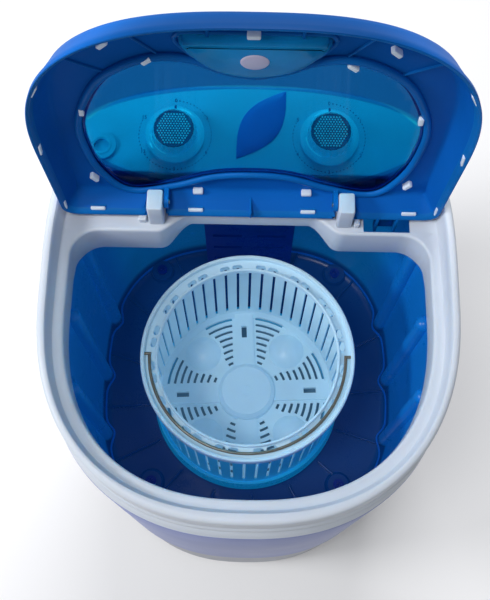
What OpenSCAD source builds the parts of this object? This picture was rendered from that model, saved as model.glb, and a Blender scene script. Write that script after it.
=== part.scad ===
// Mini washing machine with one tub, a lift-out spin basket and a hinged lid, lid shown open.
// Millimetres, +Z up, front at -Y. The origin is on the floor under the centre of the body.

/* [Body] */
// Overall width of the body
body_w = 363; // [345:1:390]
// Overall depth of the body
body_d = 390; // [380:1:410]
// Squareness of the front half of the body outline, 2 is an ellipse
front_power = 2.35; // [2.3:0.05:2.6]
// Squareness of the rear half of the body outline
rear_power = 3.6; // [3.4:0.1:4.2]
// Thickness of the moulded walls
wall = 3; // [2.5:0.1:3.5]
// Height of the rubber feet
foot_h = 8; // [6:1:12]
// Radius of the rubber feet
foot_r = 14; // [10:1:18]
// Height of the top edge of the base housing
base_top = 153; // [148:1:170]
// Inset of the base housing from the shell above it
base_inset = 2; // [1:0.5:4]
// Height of the seam band between base and shell
seam_h = 3; // [2:0.5:5]
// Height of the top edge of the outer shell
shell_top = 450; // [440:1:452]

/* [Top frame] */
// Height of the shelf that the lid closes on, over the shell's top edge
shelf_rise = 33; // [29:1:36]
// Height of the rim lip over the shelf, at the front
lip_rise = 7; // [5:0.5:13]
// Slope of the rim lip, rising to the rear, in degrees
lip_slope = 3.4; // [2.5:0.1:3.6]
// Width of the rim lip
lip_w = 9; // [7:0.5:10]
// Width of the rim lip at its front
lip_front_w = 18; // [16:0.5:20]
// Squareness of the front half of the rim lip's inner edge
lip_power = 2.45; // [2.45:0.05:2.6]
// Height of the wall that goes down from the shelf into the tub
collar_h = 29; // [24:1:34]
// Distance of each side of the mouth from the side of the body
mouth_side = 21; // [20.5:0.5:25.5]
// Distance of the front end of the mouth from the front of the body
mouth_end = 29; // [27:1:35]
// Squareness of the front of the mouth
mouth_power = 2.45; // [2.3:0.05:2.6]
// Depth of the ledge between the rear corners of the mouth and the console
mouth_ledge = 42; // [41:1:45]
// Radius of the rear corners of the mouth
mouth_corner = 25; // [18:1:32]
// Depth of the bay in the middle of the rear edge
bay_depth = 15; // [12:1:16]
// Width of the bay at half its depth
bay_w = 140; // [128:1:144]
// Width of each blend at the side of the bay
bay_blend = 28; // [20:1:32]

/* [Console] */
// Depth from the rear of the body to the console's front wall
console_depth = 84; // [81:0.5:84]
// Distance of each side of the console from the side of the body
console_side = 4.5; // [3.5:0.5:8.5]
// Distance of the rear end of the console from the rear of the body
console_end = 4; // [3:0.5:8]
// Squareness of the console outline
console_power = 3.6; // [3.4:0.1:3.8]
// Height of the panel face over the shelf, at the front wall
panel_rise = 35; // [33:1:39]
// Tilt of the panel in degrees
panel_tilt = 10; // [8:0.5:12]
// Thickness of the control panel
panel_t = 3; // [2.5:0.1:4]
// Distance of each timer knob from the middle
knob_x = 68; // [62:1:74]
// Distance of the knobs from the front edge of the panel
knob_y = 34.5; // [32:0.5:38]
// Radius of the knob skirt
knob_skirt_r = 25; // [24:0.5:29]
// Height of the knob skirt
knob_skirt_h = 5; // [4:0.5:7]
// Radius of the knob cap
knob_cap_r = 17.5; // [16:0.5:19]
// Height of the knob over the panel
knob_h = 17; // [14:0.5:20]
// Radius of the knob shafts
knob_shaft_r = 3; // [2.5:0.25:4]
// Radius of the timer housings
timer_r = 22; // [19:1:24]
// Depth of the timer housings
timer_depth = 24; // [20:1:26]
// Length of the leaf inlay
leaf_len = 76; // [68:1:80]
// Width of the leaf inlay
leaf_w = 31; // [26:1:34]
// Turn of the leaf inlay from the panel's width, in degrees
leaf_turn = 56; // [48:1:60]
// Thickness of the leaf inlay
leaf_t = 1; // [0.6:0.1:1.5]
// Distance of the water inlet from the side of the console
inlet_side = 45; // [43:0.5:51]
// Distance of the water inlet from the front edge of the panel
inlet_y = 23; // [21:0.5:25]
// Radius of the water inlet's bore
inlet_bore_r = 6; // [5:0.5:7]
// Outer radius of the water inlet
inlet_r = 9; // [8:0.5:10]
// Radius of the flange round the water inlet
inlet_flange_r = 12.5; // [11.5:0.5:13]

/* [Lid] */
// Distance of the hinge axis in front of the console's front wall
hinge_back = 23.6; // [23:0.2:24]
// Height of the hinge axis over the shelf
hinge_rise = 23; // [22.5:0.5:24]
// Opening angle of the lid from closed, in degrees
lid_open = 92; // [91:1:93]
// Distance of each side of the lid from the side of the body
lid_side = 15; // [14:0.5:17.5]
// Distance of the front end of the lid from the front of the body
lid_end = 24; // [23:0.5:26]
// Gap between the rear of the closed lid and the console's front wall
lid_gap = 8; // [7:0.5:9]
// Squareness of the front of the lid
lid_power = 2.65; // [2.55:0.05:2.7]
// Radius of the rear corners of the lid
lid_corner = 12; // [8:1:16]
// Thickness of the lid moulding
lid_t = 2.5; // [2.2:0.1:3]
// Height of the closed lid's top over the shelf, at its rear edge
lid_rear_rise = 39; // [38:0.5:41]
// Height of the closed lid's top over the shelf, at its front edge
lid_front_rise = 21; // [19:0.5:25]
// Radius of the lid's crown from front to rear
lid_crown_r = 900; // [800:10:1200]
// Height of the rear free edge of the closed lid over the shelf
lid_edge_rise = 17; // [16:0.5:18]
// Inward lean of the lid's skirt over its height
lid_draft = 10; // [8:0.5:11]
// Width of the overlap on which the lid window rests
window_rebate = 4; // [3:0.5:6]
// Thickness of the lid window
window_t = 2; // [1.6:0.1:2.5]
// Width of the finger scoop in the lid
scoop_w = 88; // [80:1:92]
// Length of the finger scoop, as a share of the lid's length
scoop_len_share = 0.124; // [0.11:0.002:0.13]
// Depth of the finger scoop
scoop_depth = 11; // [9:0.5:12]
// Distance of the scoop's middle from the lid's rear, as a share of the lid's length
scoop_share = 0.81; // [0.8:0.002:0.814]
// Radius of the plain badge in the scoop
badge_r = 10; // [8:0.5:11]
// Thickness of the badge
badge_t = 1; // [0.8:0.1:1.5]

/* [Hinge and switch] */
// Distance of the middle of each hinge post from the middle of the body
post_x = 84; // [82:0.5:86]
// Width of the hinge posts
post_w = 14; // [12:0.5:15]
// Reach of the hinge posts above and behind the hinge axis
post_r = 8; // [7:0.25:8.5]
// Reach of the hinge posts in front of the hinge axis
post_front = 12; // [9:0.5:13]
// Radius of the hinge pins
pin_r = 2; // [1.75:0.25:2.5]
// Thickness of the lid's hinge ears
ear_t = 4; // [3:0.5:5]
// Gap between ear and post
ear_gap = 0.6; // [0.4:0.1:1]
// Radial clearance of a shaft or pin that turns in a hole
running_gap = 0.06; // [0.03:0.01:0.09]
// Gap between pieces that move past each other
part_gap = 0.4; // [0.3:0.05:0.6]
// Distance of the middle of the switch tongue from the side of the console
tongue_side = 54; // [53:0.5:57]
// Width of the switch tongue
tongue_w = 20; // [17:0.5:22]
// Reach of the switch tongue from the hinge axis
tongue_reach = 40; // [37:0.5:42]
// Depth of the U section of the switch tongue
tongue_depth = 8; // [7:0.5:8.5]
// Width of the slot for the tongue
slot_w = 42; // [36:1:44]
// Height of the lid switch
switch_h = 5; // [4.5:0.25:5.5]
// Radius of the switch plunger
plunger_r = 2.5; // [2:0.25:3]
// Travel of the switch plunger
plunger_travel = 2; // [1.5:0.1:2.2]

/* [Tub] */
// Distance of each side of the tub's inside from the side of the body
tub_side = 18; // [16.5:0.5:18.5]
// Distance of each end of the tub's inside from the end of the body
tub_end = 27; // [24:0.5:28]
// Squareness of the tub outline
tub_power = 2.8; // [2.7:0.05:3]
// Height of the underside of the tub
tub_bottom_z = 212; // [209:1:214]
// Thickness of the tub floor
tub_floor_t = 4; // [3.5:0.25:4.5]
// Number of radial ribs on the tub floor
floor_ribs = 16; // [12:1:20]
// Height of the ribs on the tub floor
floor_rib_h = 4; // [3:0.5:5]
// Radius of the half-round ribs on the tub's side walls
wall_rib_r = 8; // [6:0.5:9]
// Pitch of the ribs on the tub's side walls
wall_rib_pitch = 69; // [60:1:74]
// Distance of the screw bosses from the sides of the tub
boss_side = 59.5; // [56.5:0.5:65.5]
// Distance of the front screw bosses from the front end of the tub
boss_front = 50; // [49:1:56]
// Distance of the rear screw bosses from the rear end of the tub
boss_rear = 34; // [33:1:38]
// Height of the screw bosses over the tub floor
boss_h = 6; // [5:0.5:8]
// Half width of the filter column
filter_half_w = 49; // [42:1:52]
// Depth of the filter column from the rear end of the tub
filter_d = 28; // [24:1:30]
// Distance of the filter column's top under the tub's top edge
filter_drop = 12; // [8:1:38]

/* [Drive] */
// Place of the spin axis, from the centre of the body
spin_y = -22; // [-25:1:-20]
// Radius of the drive shaft
shaft_r = 6; // [5:0.5:7]
// Outer radius of the bearings
bearing_r = 13; // [12:0.5:15]
// Height of each bearing
bearing_h = 10; // [8:1:12]
// Height of the motor plate's underside
plate_z = 118; // [116:1:122]
// Thickness of the motor plate
plate_t = 3; // [2:0.5:4]
// Distance between the motor shaft and the spin axis
belt_span = 120; // [116:1:124]
// Radius of the motor
motor_r = 42; // [38:1:44]
// Height of the motor
motor_h = 68; // [60:1:72]
// Radius of the motor shaft
motor_shaft_r = 5; // [4:0.5:6]
// Radius of the large pulley at the belt
big_pulley_r = 55; // [50:1:58]
// Radius of the small pulley at the belt
small_pulley_r = 12.5; // [11:0.5:14]
// Height of the pulleys
pulley_h = 14; // [13:0.5:16]
// Height of the belt
belt_h = 8; // [7:0.5:9]
// Thickness of the belt
belt_t = 4; // [3:0.5:5]

/* [Pulsator and basket] */
// Reach of the pulsator beyond the basket wall
pulsator_side = 7; // [5.5:0.5:8]
// Height of the pulsator
pulsator_h = 30; // [28:1:32]
// Gap under the pulsator
pulsator_gap = 5; // [4:0.5:7]
// Depth of the basket's seat inside the pulsator's rim
pulsator_seat = 10; // [8:0.5:11]
// Number of vanes on the pulsator
vanes = 6; // [4:1:8]
// Outer radius of the basket wall
basket_r = 97; // [95:0.5:98]
// Turn of the basket as it stands on the pulsator, in degrees
basket_turn = 3; // [0:1:10]
// Thickness of the basket wall
basket_t = 2; // [1.6:0.1:2.4]
// Height of the basket, floor to collar
basket_h = 161; // [155:1:166]
// Number of slots in the basket wall
wall_slots = 48; // [36:1:54]
// Width of the slots in the basket wall
wall_slot_w = 2.8; // [2:0.1:3.2]
// Height of the plain band over the slots in the basket wall
wall_band = 5; // [3:0.5:10]
// Reach of the basket collar beyond the basket wall
collar_side = 5; // [4:0.5:5.5]
// Reach of the basket collar inside the face of the basket wall
collar_in = 11.5; // [10.5:0.5:13]
// Distance of the bail inside the face of the basket wall
bail_in = 3.5; // [3:0.25:4]
// Height of the basket collar
ring_h = 12; // [11:0.5:14]
// Number of slots in the basket collar, in pairs
ring_slots = 32; // [24:4:36]
// Radius of the basket hub
hub_r = 30; // [26:0.5:31]
// Height of the basket hub over the basket floor
hub_h = 14; // [11:0.5:16]
// Width of the beams of the basket floor
beam_w = 21; // [18:0.5:23]
// Radius of the domes on the basket floor
dome_r = 20; // [18:0.5:21]
// Height of the domes
dome_h = 9; // [7:0.5:10]
// Distance of the domes from the spin axis
dome_place_r = 66.5; // [64:0.5:67.5]
// Width of the arc slots in the basket floor
arc_slot_w = 3; // [2.4:0.1:3.4]
// Pitch of the arc slots in the basket floor
arc_slot_pitch = 7.2; // [6.6:0.1:8]
// Radius of the bail wire
bail_wire_r = 1.5; // [1.2:0.1:1.8]
// Width of the groove for the bail
bail_groove_w = 6; // [5.5:0.25:6.5]

/* [Services] */
// Distance of the drain spigot and of the cord gland from the sides of the body
service_side = 49.5; // [46:0.5:53]
// Height of the drain spigot
drain_z = 45; // [35:1:60]
// Outer radius of the drain spigot
drain_r = 10; // [9:0.5:11]
// Bore radius of the drain line
drain_bore_r = 7; // [6:0.5:7.5]
// Radius of the cord gland's bore
gland_bore_r = 3.5; // [3:0.25:4]
// Outer radius of the cord gland
gland_r = 8; // [7:0.5:9]
// Half width of the back cover
cover_half_w = 86; // [76:1:90]
// Height of the back cover
cover_h = 100; // [90:1:106]
// Height of the back cover's lower edge
cover_z = 30; // [26:1:34]
// Thickness of the back cover
cover_t = 2.5; // [2:0.25:3]
// Radius of the screw shanks
screw_r = 2; // [1.5:0.25:2.5]
// Radius of the screw heads
screw_head_r = 4; // [3.5:0.25:4.5]
// Radius of the capacitor
capacitor_r = 18; // [15:0.5:20]
// Height of the capacitor
capacitor_h = 62; // [50:1:70]

/* [Hidden] */
$fn = 48;
big = 1000;
bite = 1;
loop_points = 96;

shelf_z = shell_top + shelf_rise;
lip_front_z = shelf_z + lip_rise;
lip_room = 60;
console_w = body_w - 2 * console_side;
console_front = body_d / 2 - console_depth;
console_rear = body_d / 2 - console_end;
panel_z = shelf_z + panel_rise;
mouth_w = body_w - 2 * mouth_side;
mouth_front = body_d / 2 - mouth_end;
mouth_rear = console_front - mouth_ledge;
hinge_y = console_front - hinge_back;
hinge_z = shelf_z + hinge_rise;
lid_w = body_w - 2 * lid_side;
lid_front = body_d / 2 - lid_end;
lid_rear = console_front - lid_gap;
lid_len = lid_front + lid_rear;
lid_rear_z = shelf_z + lid_rear_rise;
lid_front_z = shelf_z + lid_front_rise;
lid_rear_edge_z = shelf_z + lid_edge_rise;
scoop_s = lid_len * scoop_share;
scoop_len = lid_len * scoop_len_share;
inlet_x = console_w / 2 - inlet_side;
tongue_x = console_w / 2 - tongue_side;
tub_w = body_w - 2 * tub_side;
tub_d = body_d - 2 * tub_end;
boss_x = tub_w / 2 - boss_side;
filter_y = tub_d / 2 - filter_d;
drain_x = body_w / 2 - service_side;
gland_x = body_w / 2 - service_side;

base_z = foot_h;
floor_z = base_z + wall;
shell_z = base_top + seam_h;
collar_z = shelf_z - collar_h;
tub_floor_z = tub_bottom_z + tub_floor_t;
filter_h = collar_z - tub_floor_z - filter_drop;
filter_slot_w = 32;
filter_slot_h = 6;
filter_slot_pitch = 32;
boss_r = 13;
post_under_r = 9;
bosses = [for (sx = [-1, 1], y = [boss_front - tub_d / 2, tub_d / 2 - boss_rear]) [sx * boss_x, y]];
foot_share = 0.33;
feet = [for (sx = [-1, 1], sy = [-1, 1]) [sx * body_w * foot_share, sy * body_d * foot_share]];
tub_screw_r = 6;
tub_screw_t = 3;
tub_screw_bite = 8;

spin_place = [0, spin_y, 0];
motor_place = [0, spin_y + belt_span, 0];
plate_top = plate_z + plate_t;
pulley_gap = 6;
pulley_z = plate_z - pulley_gap - pulley_h;
belt_z = pulley_z + (pulley_h - belt_h) / 2;
flange_t = (pulley_h - belt_h) / 2 - part_gap;
spacer_r = 5;
spacer_x = 48;
spacer_front = 48;
spacer_rear = 45;
spacers = [for (sx = [-1, 1], y = [spin_y - spacer_front, spin_y + belt_span + spacer_rear])
    [sx * spacer_x, y]];
plate_edge = 14;
shaft_hole_gap = 6;
motor_hole_gap = 4;
motor_room = 12;
lightening_r = 11;
lightening_place = 34;
housing_wall = 5;
housing_foot_r = 22;
housing_foot_t = 5;
housing_head_r = 25;
housing_head_t = 6;
upper_bearing_drop = 16;
lower_bearing_rise = 5;
seal_drop = 12;
seal_rise = 2;

pulsator_r = basket_r + pulsator_side;
collar_r = basket_r + collar_side;
collar_bore_r = basket_r - collar_in;
bail_r = basket_r - bail_in;
pulsator_z = tub_floor_z + pulsator_gap;
pulsator_top = pulsator_z + pulsator_h;
seat_z = pulsator_top - pulsator_seat;
shaft_bottom = pulley_z - 4;
shaft_top = seat_z - 3;
pulsator_hub_r = 18;
rim_r = pulsator_r - 2.5;
seat_h = pulsator_h - pulsator_seat;
pulsator_ledge = 11;
screw_depth = 12;

basket_foot_z = seat_z + part_gap;
basket_floor_z = basket_foot_z + 3;
basket_floor_t = 3;
basket_floor_top = basket_floor_z + basket_floor_t;
ring_z = basket_floor_z + basket_h - ring_h;
ring_top = ring_z + ring_h;
bail_z = ring_top - 4;
groove_floor_z = bail_z - bail_wire_r - part_gap;

console_slot_top = panel_z - panel_t - 2;
slot_front = mouth_rear + wall;
slot_rear = hinge_y + tongue_reach - 3;
tongue_back = 6;
tongue_t = 2.5;
switch_w = 24;
switch_y = 4;
switch_d = 14;
plunger_reach = 3;

crown_mid = [(lid_rear - lid_front) / 2, (lid_rear_z + lid_front_z) / 2];
crown_chord = [lid_len, lid_rear_z - lid_front_z];
crown_half = norm(crown_chord) / 2;
crown_drop = sqrt(lid_crown_r * lid_crown_r - crown_half * crown_half);
crown_centre = crown_mid + crown_drop * [crown_chord[1], -crown_chord[0]] / norm(crown_chord);
lid_edge_gap = 0.5;
lid_front_edge_z = shelf_z + lid_edge_gap;
lid_edge_slope = atan((lid_rear_edge_z - lid_front_edge_z) / lid_len);
lid_span_z = 50;
lid_lean = lid_draft * lid_span_z / (lid_rear_z - lid_rear_edge_z);
lid_shrink = [1 - 2 * lid_lean / lid_w, 1 - lid_lean / lid_len];
ear_x = post_x - post_w / 2 - ear_gap - ear_t;
ear_r = pin_r + 4;
ear_top_z = crown_centre[1]
    + sqrt(pow(lid_crown_r - lid_t / 2, 2) - pow(hinge_y + ear_r - crown_centre[0], 2));
notch_gap = 1.5;
notch_room = 30;
ring_slot_turn = 3.9;
ring_slot_half = 3.1;
// Half of the window's outline: shares of the lid's width from the middle and of its length from the rear
window_half = [[0, 0.668], [0.072, 0.693], [0.135, 0.741], [0.201, 0.748], [0.276, 0.693], [0.336, 0.602],
               [0.39, 0.431], [0.393, 0.277], [0.369, 0.153], [0.315, 0.069], [0.207, 0.099], [0.102, 0.153],
               [0, 0.168]];

inlet_top = 3;
inlet_drop = 22;
inlet_bend = 50;
inlet_leg = 32;
pin_end = post_x + post_w / 2 - 3;

cover_sink = 6;
cover_rim = 8;
cover_edge = 5;
cover_opening = 10;
pad_depth = 17;
back_face_y = body_d / 2 - base_inset - cover_sink;
cover_holes = [for (sx = [-1, 1], sz = [0, 1])
    [sx * (cover_half_w - cover_edge), cover_z + cover_edge + sz * (cover_h - 2 * cover_edge)]];
drain_back = 76;
drain_y = tub_d / 2 - drain_back;
drain_end = body_d / 2 - 1;
drain_nose = 14;
gland_flange = 4;
gland_y = floor(base_inner(gland_x + gland_r + gland_flange) - gland_flange) - 0.5;
gland_end = body_d / 2 - 6;

function power(c, n) = sign(c) * pow(abs(c), 2 / n);
function loop(a, bf, br, nf, nr) =
    [for (i = [0 : loop_points - 1])
        let (t = 360 * i / loop_points, n = t > 180 ? nf : nr, b = t > 180 ? bf : br)
        [a * power(cos(t), n), b * power(sin(t), n)]];
function arc(cx, cy, r, from, to, steps) =
    [for (i = [0 : steps]) let (t = from + (to - from) * i / steps) [cx + r * cos(t), cy + r * sin(t)]];
function mirrored(half) =
    concat(half, [for (i = [len(half) - 1 : -1 : 0]) if (half[i][0] > 0.001) [-half[i][0], half[i][1]]]);
function front_curve(a, b, n) =
    [for (i = [0 : 24]) let (t = -90 * i / 24) [a * power(cos(t), n), b * power(sin(t), n)]];
function mouth(g) = mirrored(concat(
    [for (i = [0 : 8]) [(bay_w - bay_blend) / 2 + 0.4 * g + bay_blend * i / 8,
                        mouth_rear + g + bay_depth * (1 + cos(22.5 * i)) / 2]],
    arc(mouth_w / 2 - mouth_corner, mouth_rear - mouth_corner, mouth_corner + g, 90, 0, 8),
    front_curve(mouth_w / 2 + g, mouth_front + g, mouth_power)));
function lid_loop(g) = mirrored(concat(
    arc(lid_w / 2 - lid_corner, lid_rear - lid_corner, lid_corner + g, 90, 0, 5),
    front_curve(lid_w / 2 + g, lid_front + g, lid_power)));
function catmull(a, b, c, d, t) =
    0.5 * (2 * b + (c - a) * t + (2 * a - 5 * b + 4 * c - d) * t * t + (3 * b - a - 3 * c + d) * t * t * t);
function smooth(p, steps) =
    [for (i = [0 : len(p) - 1], k = [0 : steps - 1])
        catmull(p[(i + len(p) - 1) % len(p)], p[i], p[(i + 1) % len(p)], p[(i + 2) % len(p)], k / steps)];
function grown(p, g) =
    [for (i = [0 : len(p) - 1])
        let (t = p[(i + 1) % len(p)] - p[(i + len(p) - 1) % len(p)]) p[i] + g * [t[1], -t[0]] / norm(t)];
function window_loop() =
    [for (q = smooth(mirrored(window_half), 4)) [q[0] * lid_w, lid_rear - q[1] * lid_len]];
function belt_loop(r_big, r_small) =
    let (lean = acos((r_big - r_small) / belt_span))
    concat(arc(0, belt_span, r_small, 90 - lean, 90 + lean, 16),
           arc(0, 0, r_big, 90 + lean, 450 - lean, 40));

module ring(outer, inner, z0, z1) {
    difference() {
        translate([0, 0, z0]) linear_extrude(height = z1 - z0) polygon(outer);
        translate([0, 0, z0 - bite]) linear_extrude(height = z1 - z0 + 2 * bite) polygon(inner);
    }
}

module body_ring(inset, thick, z0, z1) {
    ring(body_loop(inset), body_loop(inset + thick), z0, z1);
}
// Distance of the base housing's inner face from the middle of the body, at its rear, at x
function base_inner(x) =
    (body_d / 2 - base_inset - wall)
    * pow(1 - pow(x / (body_w / 2 - base_inset - wall), rear_power), 1 / rear_power);
function body_loop(inset) =
    loop(body_w / 2 - inset, body_d / 2 - inset, body_d / 2 - inset, front_power, rear_power);
function lip_loop(g) =
    loop(body_w / 2 - lip_w + g, body_d / 2 - lip_front_w + g, body_d / 2 - lip_w + g,
         lip_power, rear_power);
function tub_loop(g) = loop(tub_w / 2 + g, tub_d / 2 + g, tub_d / 2 + g, tub_power, tub_power);
function console_loop(inset) =
    loop(console_w / 2 - inset, console_rear - inset, console_rear - inset, console_power, console_power);

module tube(r_out, r_in, h) {
    difference() {
        cylinder(r = r_out, h = h);
        translate([0, 0, -bite]) cylinder(r = r_in, h = h + 2 * bite);
    }
}

// Everything below the sloped plane of the rim lip, lowered by drop
module under_lip(drop) {
    translate([0, -body_d / 2, lip_front_z - drop]) rotate([lip_slope, 0, 0])
        translate([-big / 2, -big / 4, -big]) cube([big, big, big]);
}

// The panel's own frame: x across, y up the slope, z out of the face
module on_panel() {
    translate([0, console_front, panel_z]) rotate([panel_tilt, 0, 0]) children();
}

module under_panel(drop) {
    on_panel() translate([-big / 2, -big / 2, -big - drop]) cube([big, big, big]);
}

module behind(y) {
    translate([-big / 2, y, 0]) cube([big, big, big]);
}

// Turns pieces drawn with the lid closed to the open lid
module opened() {
    translate([0, hinge_y, hinge_z]) rotate([-lid_open, 0, 0]) translate([0, -hinge_y, -hinge_z]) children();
}

module base_housing() color("gainsboro") difference() {
    union() {
        body_ring(base_inset, wall, base_z, base_top);
        translate([0, 0, base_z]) linear_extrude(height = wall) polygon(body_loop(base_inset + wall / 2));
        intersection() {
            translate([-cover_half_w - cover_rim, body_d / 2 - pad_depth, cover_z - cover_rim])
                cube([2 * (cover_half_w + cover_rim), pad_depth, cover_h + 2 * cover_rim]);
            translate([0, 0, base_z]) linear_extrude(height = base_top)
                polygon(body_loop(base_inset + wall / 2));
        }
        for (p = bosses) translate([p[0], p[1], floor_z - bite])
            cylinder(r = post_under_r, h = tub_bottom_z - floor_z + bite);
    }
    translate([-cover_half_w - part_gap, back_face_y, cover_z - part_gap])
        cube([2 * (cover_half_w + part_gap), pad_depth, cover_h + 2 * part_gap]);
    translate([-cover_half_w + cover_opening, body_d / 2 - 2 * pad_depth, cover_z + cover_opening])
        cube([2 * (cover_half_w - cover_opening), 3 * pad_depth, cover_h - 2 * cover_opening]);
    for (p = cover_holes) translate([p[0], back_face_y + bite, p[1]]) rotate([90, 0, 0])
        cylinder(r = screw_r, h = 7 + bite);
    for (p = bosses) translate([p[0], p[1], tub_bottom_z - 14]) cylinder(r = screw_r, h = 20);
    translate([-drain_x, body_d / 2 - 60, drain_z]) rotate([-90, 0, 0]) cylinder(r = drain_r, h = 80);
    translate([gland_x, body_d / 2 - 60, drain_z]) rotate([-90, 0, 0]) cylinder(r = gland_r, h = 80);
}

module rubber_feet() color("dimgray")
    for (p = feet) translate([p[0], p[1], 0]) cylinder(r = foot_r, h = foot_h);

module seam_band() color("lightsteelblue") body_ring(base_inset, wall + 2, base_top, shell_z);

module outer_shell() color("thistle") body_ring(0, wall + 1, shell_z, shell_top);

module top_frame() color("white") difference() {
    union() {
        intersection() {
            body_ring(0, wall, shell_top, shelf_z + lip_room);
            under_lip(0);
        }
        intersection() {
            ring(body_loop(wall / 2), lip_loop(0), shell_top, shelf_z + lip_room);
            difference() {
                under_lip(0);
                under_lip(wall);
            }
        }
        intersection() {
            ring(lip_loop(wall), lip_loop(0), shelf_z - wall, shelf_z + lip_room);
            under_lip(0);
        }
        shelf();
        ring(mouth(wall), mouth(0), collar_z, shelf_z);
        intersection() {
            ring(tub_loop(wall), tub_loop(0), collar_z, shelf_z - wall / 2);
            behind(mouth_rear - mouth_corner);
        }
        console_walls();
        for (sx = [-1, 1]) hinge_post(sx);
    }
    translate([tongue_x - tongue_w / 2 - 3, console_front - bite, shelf_z - wall - bite])
        cube([tongue_w + 6, wall + 2 * bite, console_slot_top - shelf_z + wall]);
    for (sx = [-1, 1]) translate([sx > 0 ? post_x - post_w / 2 - bite : -pin_end, hinge_y, hinge_z])
        rotate([0, 90, 0]) cylinder(r = pin_r, h = pin_end - post_x + post_w / 2 + bite);
    inlet_line(inlet_r, 0);
}

// The lid's shelf and the deck under the console in one plate, with the slot for the tongue
module shelf() difference() {
    ring(lip_loop(wall / 2), mouth(wall / 2), shelf_z - wall, shelf_z);
    translate([tongue_x - slot_w / 2, slot_front, shelf_z - wall - bite])
        cube([slot_w, slot_rear - slot_front, wall + 2 * bite]);
}

module console_walls() intersection() {
    difference() {
        translate([0, 0, shelf_z - wall / 2]) linear_extrude(height = 70) polygon(console_loop(0));
        intersection() {
            translate([0, 0, shelf_z - wall]) linear_extrude(height = 90) polygon(console_loop(wall));
            behind(console_front + wall);
        }
    }
    behind(console_front);
    under_panel(panel_t);
}

module hinge_post(side) translate([side * post_x - post_w / 2, hinge_y, 0]) {
    translate([0, -post_front, shelf_z - bite])
        cube([post_w, post_front + post_r, hinge_z + post_r - shelf_z + bite]);
}

module wash_tub() color("mediumblue") difference() {
    union() {
        ring(tub_loop(wall), tub_loop(0), tub_floor_z - bite, collar_z);
        translate([0, 0, tub_bottom_z]) linear_extrude(height = tub_floor_t) polygon(tub_loop(wall));
        intersection() {
            translate([0, 0, tub_floor_z - bite]) linear_extrude(height = collar_z - tub_floor_z)
                polygon(tub_loop(wall / 2));
            union() {
                for (i = [0 : floor_ribs - 1]) translate([0, spin_y, tub_floor_z - bite])
                    rotate([0, 0, 360 * (i + 0.2) / floor_ribs]) translate([pulsator_r + 5, -1, 0])
                        cube([tub_d, 2, floor_rib_h + bite]);
                for (sx = [-1, 1], k = [-1 : 1])
                    translate([sx * (tub_w / 2 - 1), k * wall_rib_pitch + 2, tub_floor_z - bite])
                        cylinder(r = wall_rib_r, h = collar_z - tub_floor_z - filter_drop);
                for (p = bosses) translate([p[0], p[1], tub_floor_z - bite])
                    cylinder(r = boss_r, h = boss_h + bite);
            }
        }
    }
    translate([0, spin_y, tub_bottom_z - bite]) cylinder(r = bearing_r, h = tub_floor_t + 2 * bite);
    for (p = bosses) translate([p[0], p[1], tub_bottom_z - bite])
        cylinder(r = screw_r, h = tub_floor_t + boss_h + 2 * bite);
    translate([-drain_x, drain_y, tub_bottom_z - bite])
        cylinder(r = drain_bore_r, h = tub_floor_t + floor_rib_h + 2 * bite);
    intersection() {
        translate([-filter_half_w - 1.5 * part_gap, filter_y - part_gap, tub_floor_z])
            cube([2 * filter_half_w + 3 * part_gap, tub_d, floor_rib_h + bite]);
        translate([0, 0, tub_floor_z]) linear_extrude(height = floor_rib_h + bite) polygon(tub_loop(0));
    }
}

module tub_screws() color("midnightblue") for (p = bosses) translate([p[0], p[1], tub_floor_z + boss_h]) {
    difference() {
        cylinder(r = tub_screw_r, h = tub_screw_t);
        for (a = [0, 60, 120]) rotate([0, 0, a]) translate([2.5 - tub_screw_r, -0.5, tub_screw_t / 2])
            cube([2 * tub_screw_r - 5, 1, tub_screw_t]);
    }
    translate([0, 0, -tub_floor_t - boss_h - tub_screw_bite])
        cylinder(r = screw_r, h = tub_floor_t + boss_h + tub_screw_bite);
}

module filter_column() color("navy") difference() {
    intersection() {
        translate([-filter_half_w, filter_y, tub_floor_z]) cube([2 * filter_half_w, 2 * filter_d, filter_h]);
        translate([0, 0, tub_floor_z]) linear_extrude(height = filter_h) polygon(tub_loop(-part_gap));
    }
    for (k = [1 : floor(filter_h / filter_slot_pitch) - 1], sx = [-1, 1])
        translate([(sx * filter_half_w - filter_slot_w) / 2, filter_y - bite,
                   tub_floor_z + filter_slot_pitch * k])
            cube([filter_slot_w, 10, filter_slot_h]);
}

module control_panel() color("royalblue") difference() {
    intersection() {
        translate([0, 0, shelf_z]) linear_extrude(height = 90) polygon(console_loop(0));
        behind(console_front);
        difference() {
            under_panel(0);
            under_panel(panel_t);
        }
    }
    for (sx = [-1, 1]) on_panel() translate([sx * knob_x, knob_y, -panel_t - bite])
        cylinder(r = knob_shaft_r + part_gap, h = panel_t + 2 * bite);
    on_panel() translate([-inlet_x, inlet_y, -panel_t - bite]) cylinder(r = inlet_r, h = panel_t + 2 * bite);
}

function leaf_edge(i, side) = [leaf_len * (i / 16 - 0.5), side * leaf_w / 2 * sin(180 * i / 16)];
module panel_leaf_inlay() color("darkblue") on_panel() translate([8, knob_y + 11, 0])
    rotate([0, 0, leaf_turn]) linear_extrude(height = leaf_t)
        polygon(concat([for (i = [0 : 16]) leaf_edge(i, 1)], [for (i = [15 : -1 : 1]) leaf_edge(i, -1)]));

// Pipe from the panel that bends forward through the deck into the tub
module inlet_line(r, over) on_panel() translate([-inlet_x, inlet_y, -inlet_drop]) {
    cylinder(r = r, h = inlet_drop + over);
    sphere(r = r);
    rotate([-inlet_bend, 0, 0]) translate([0, 0, -inlet_leg - over]) cylinder(r = r, h = inlet_leg + over);
}

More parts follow.
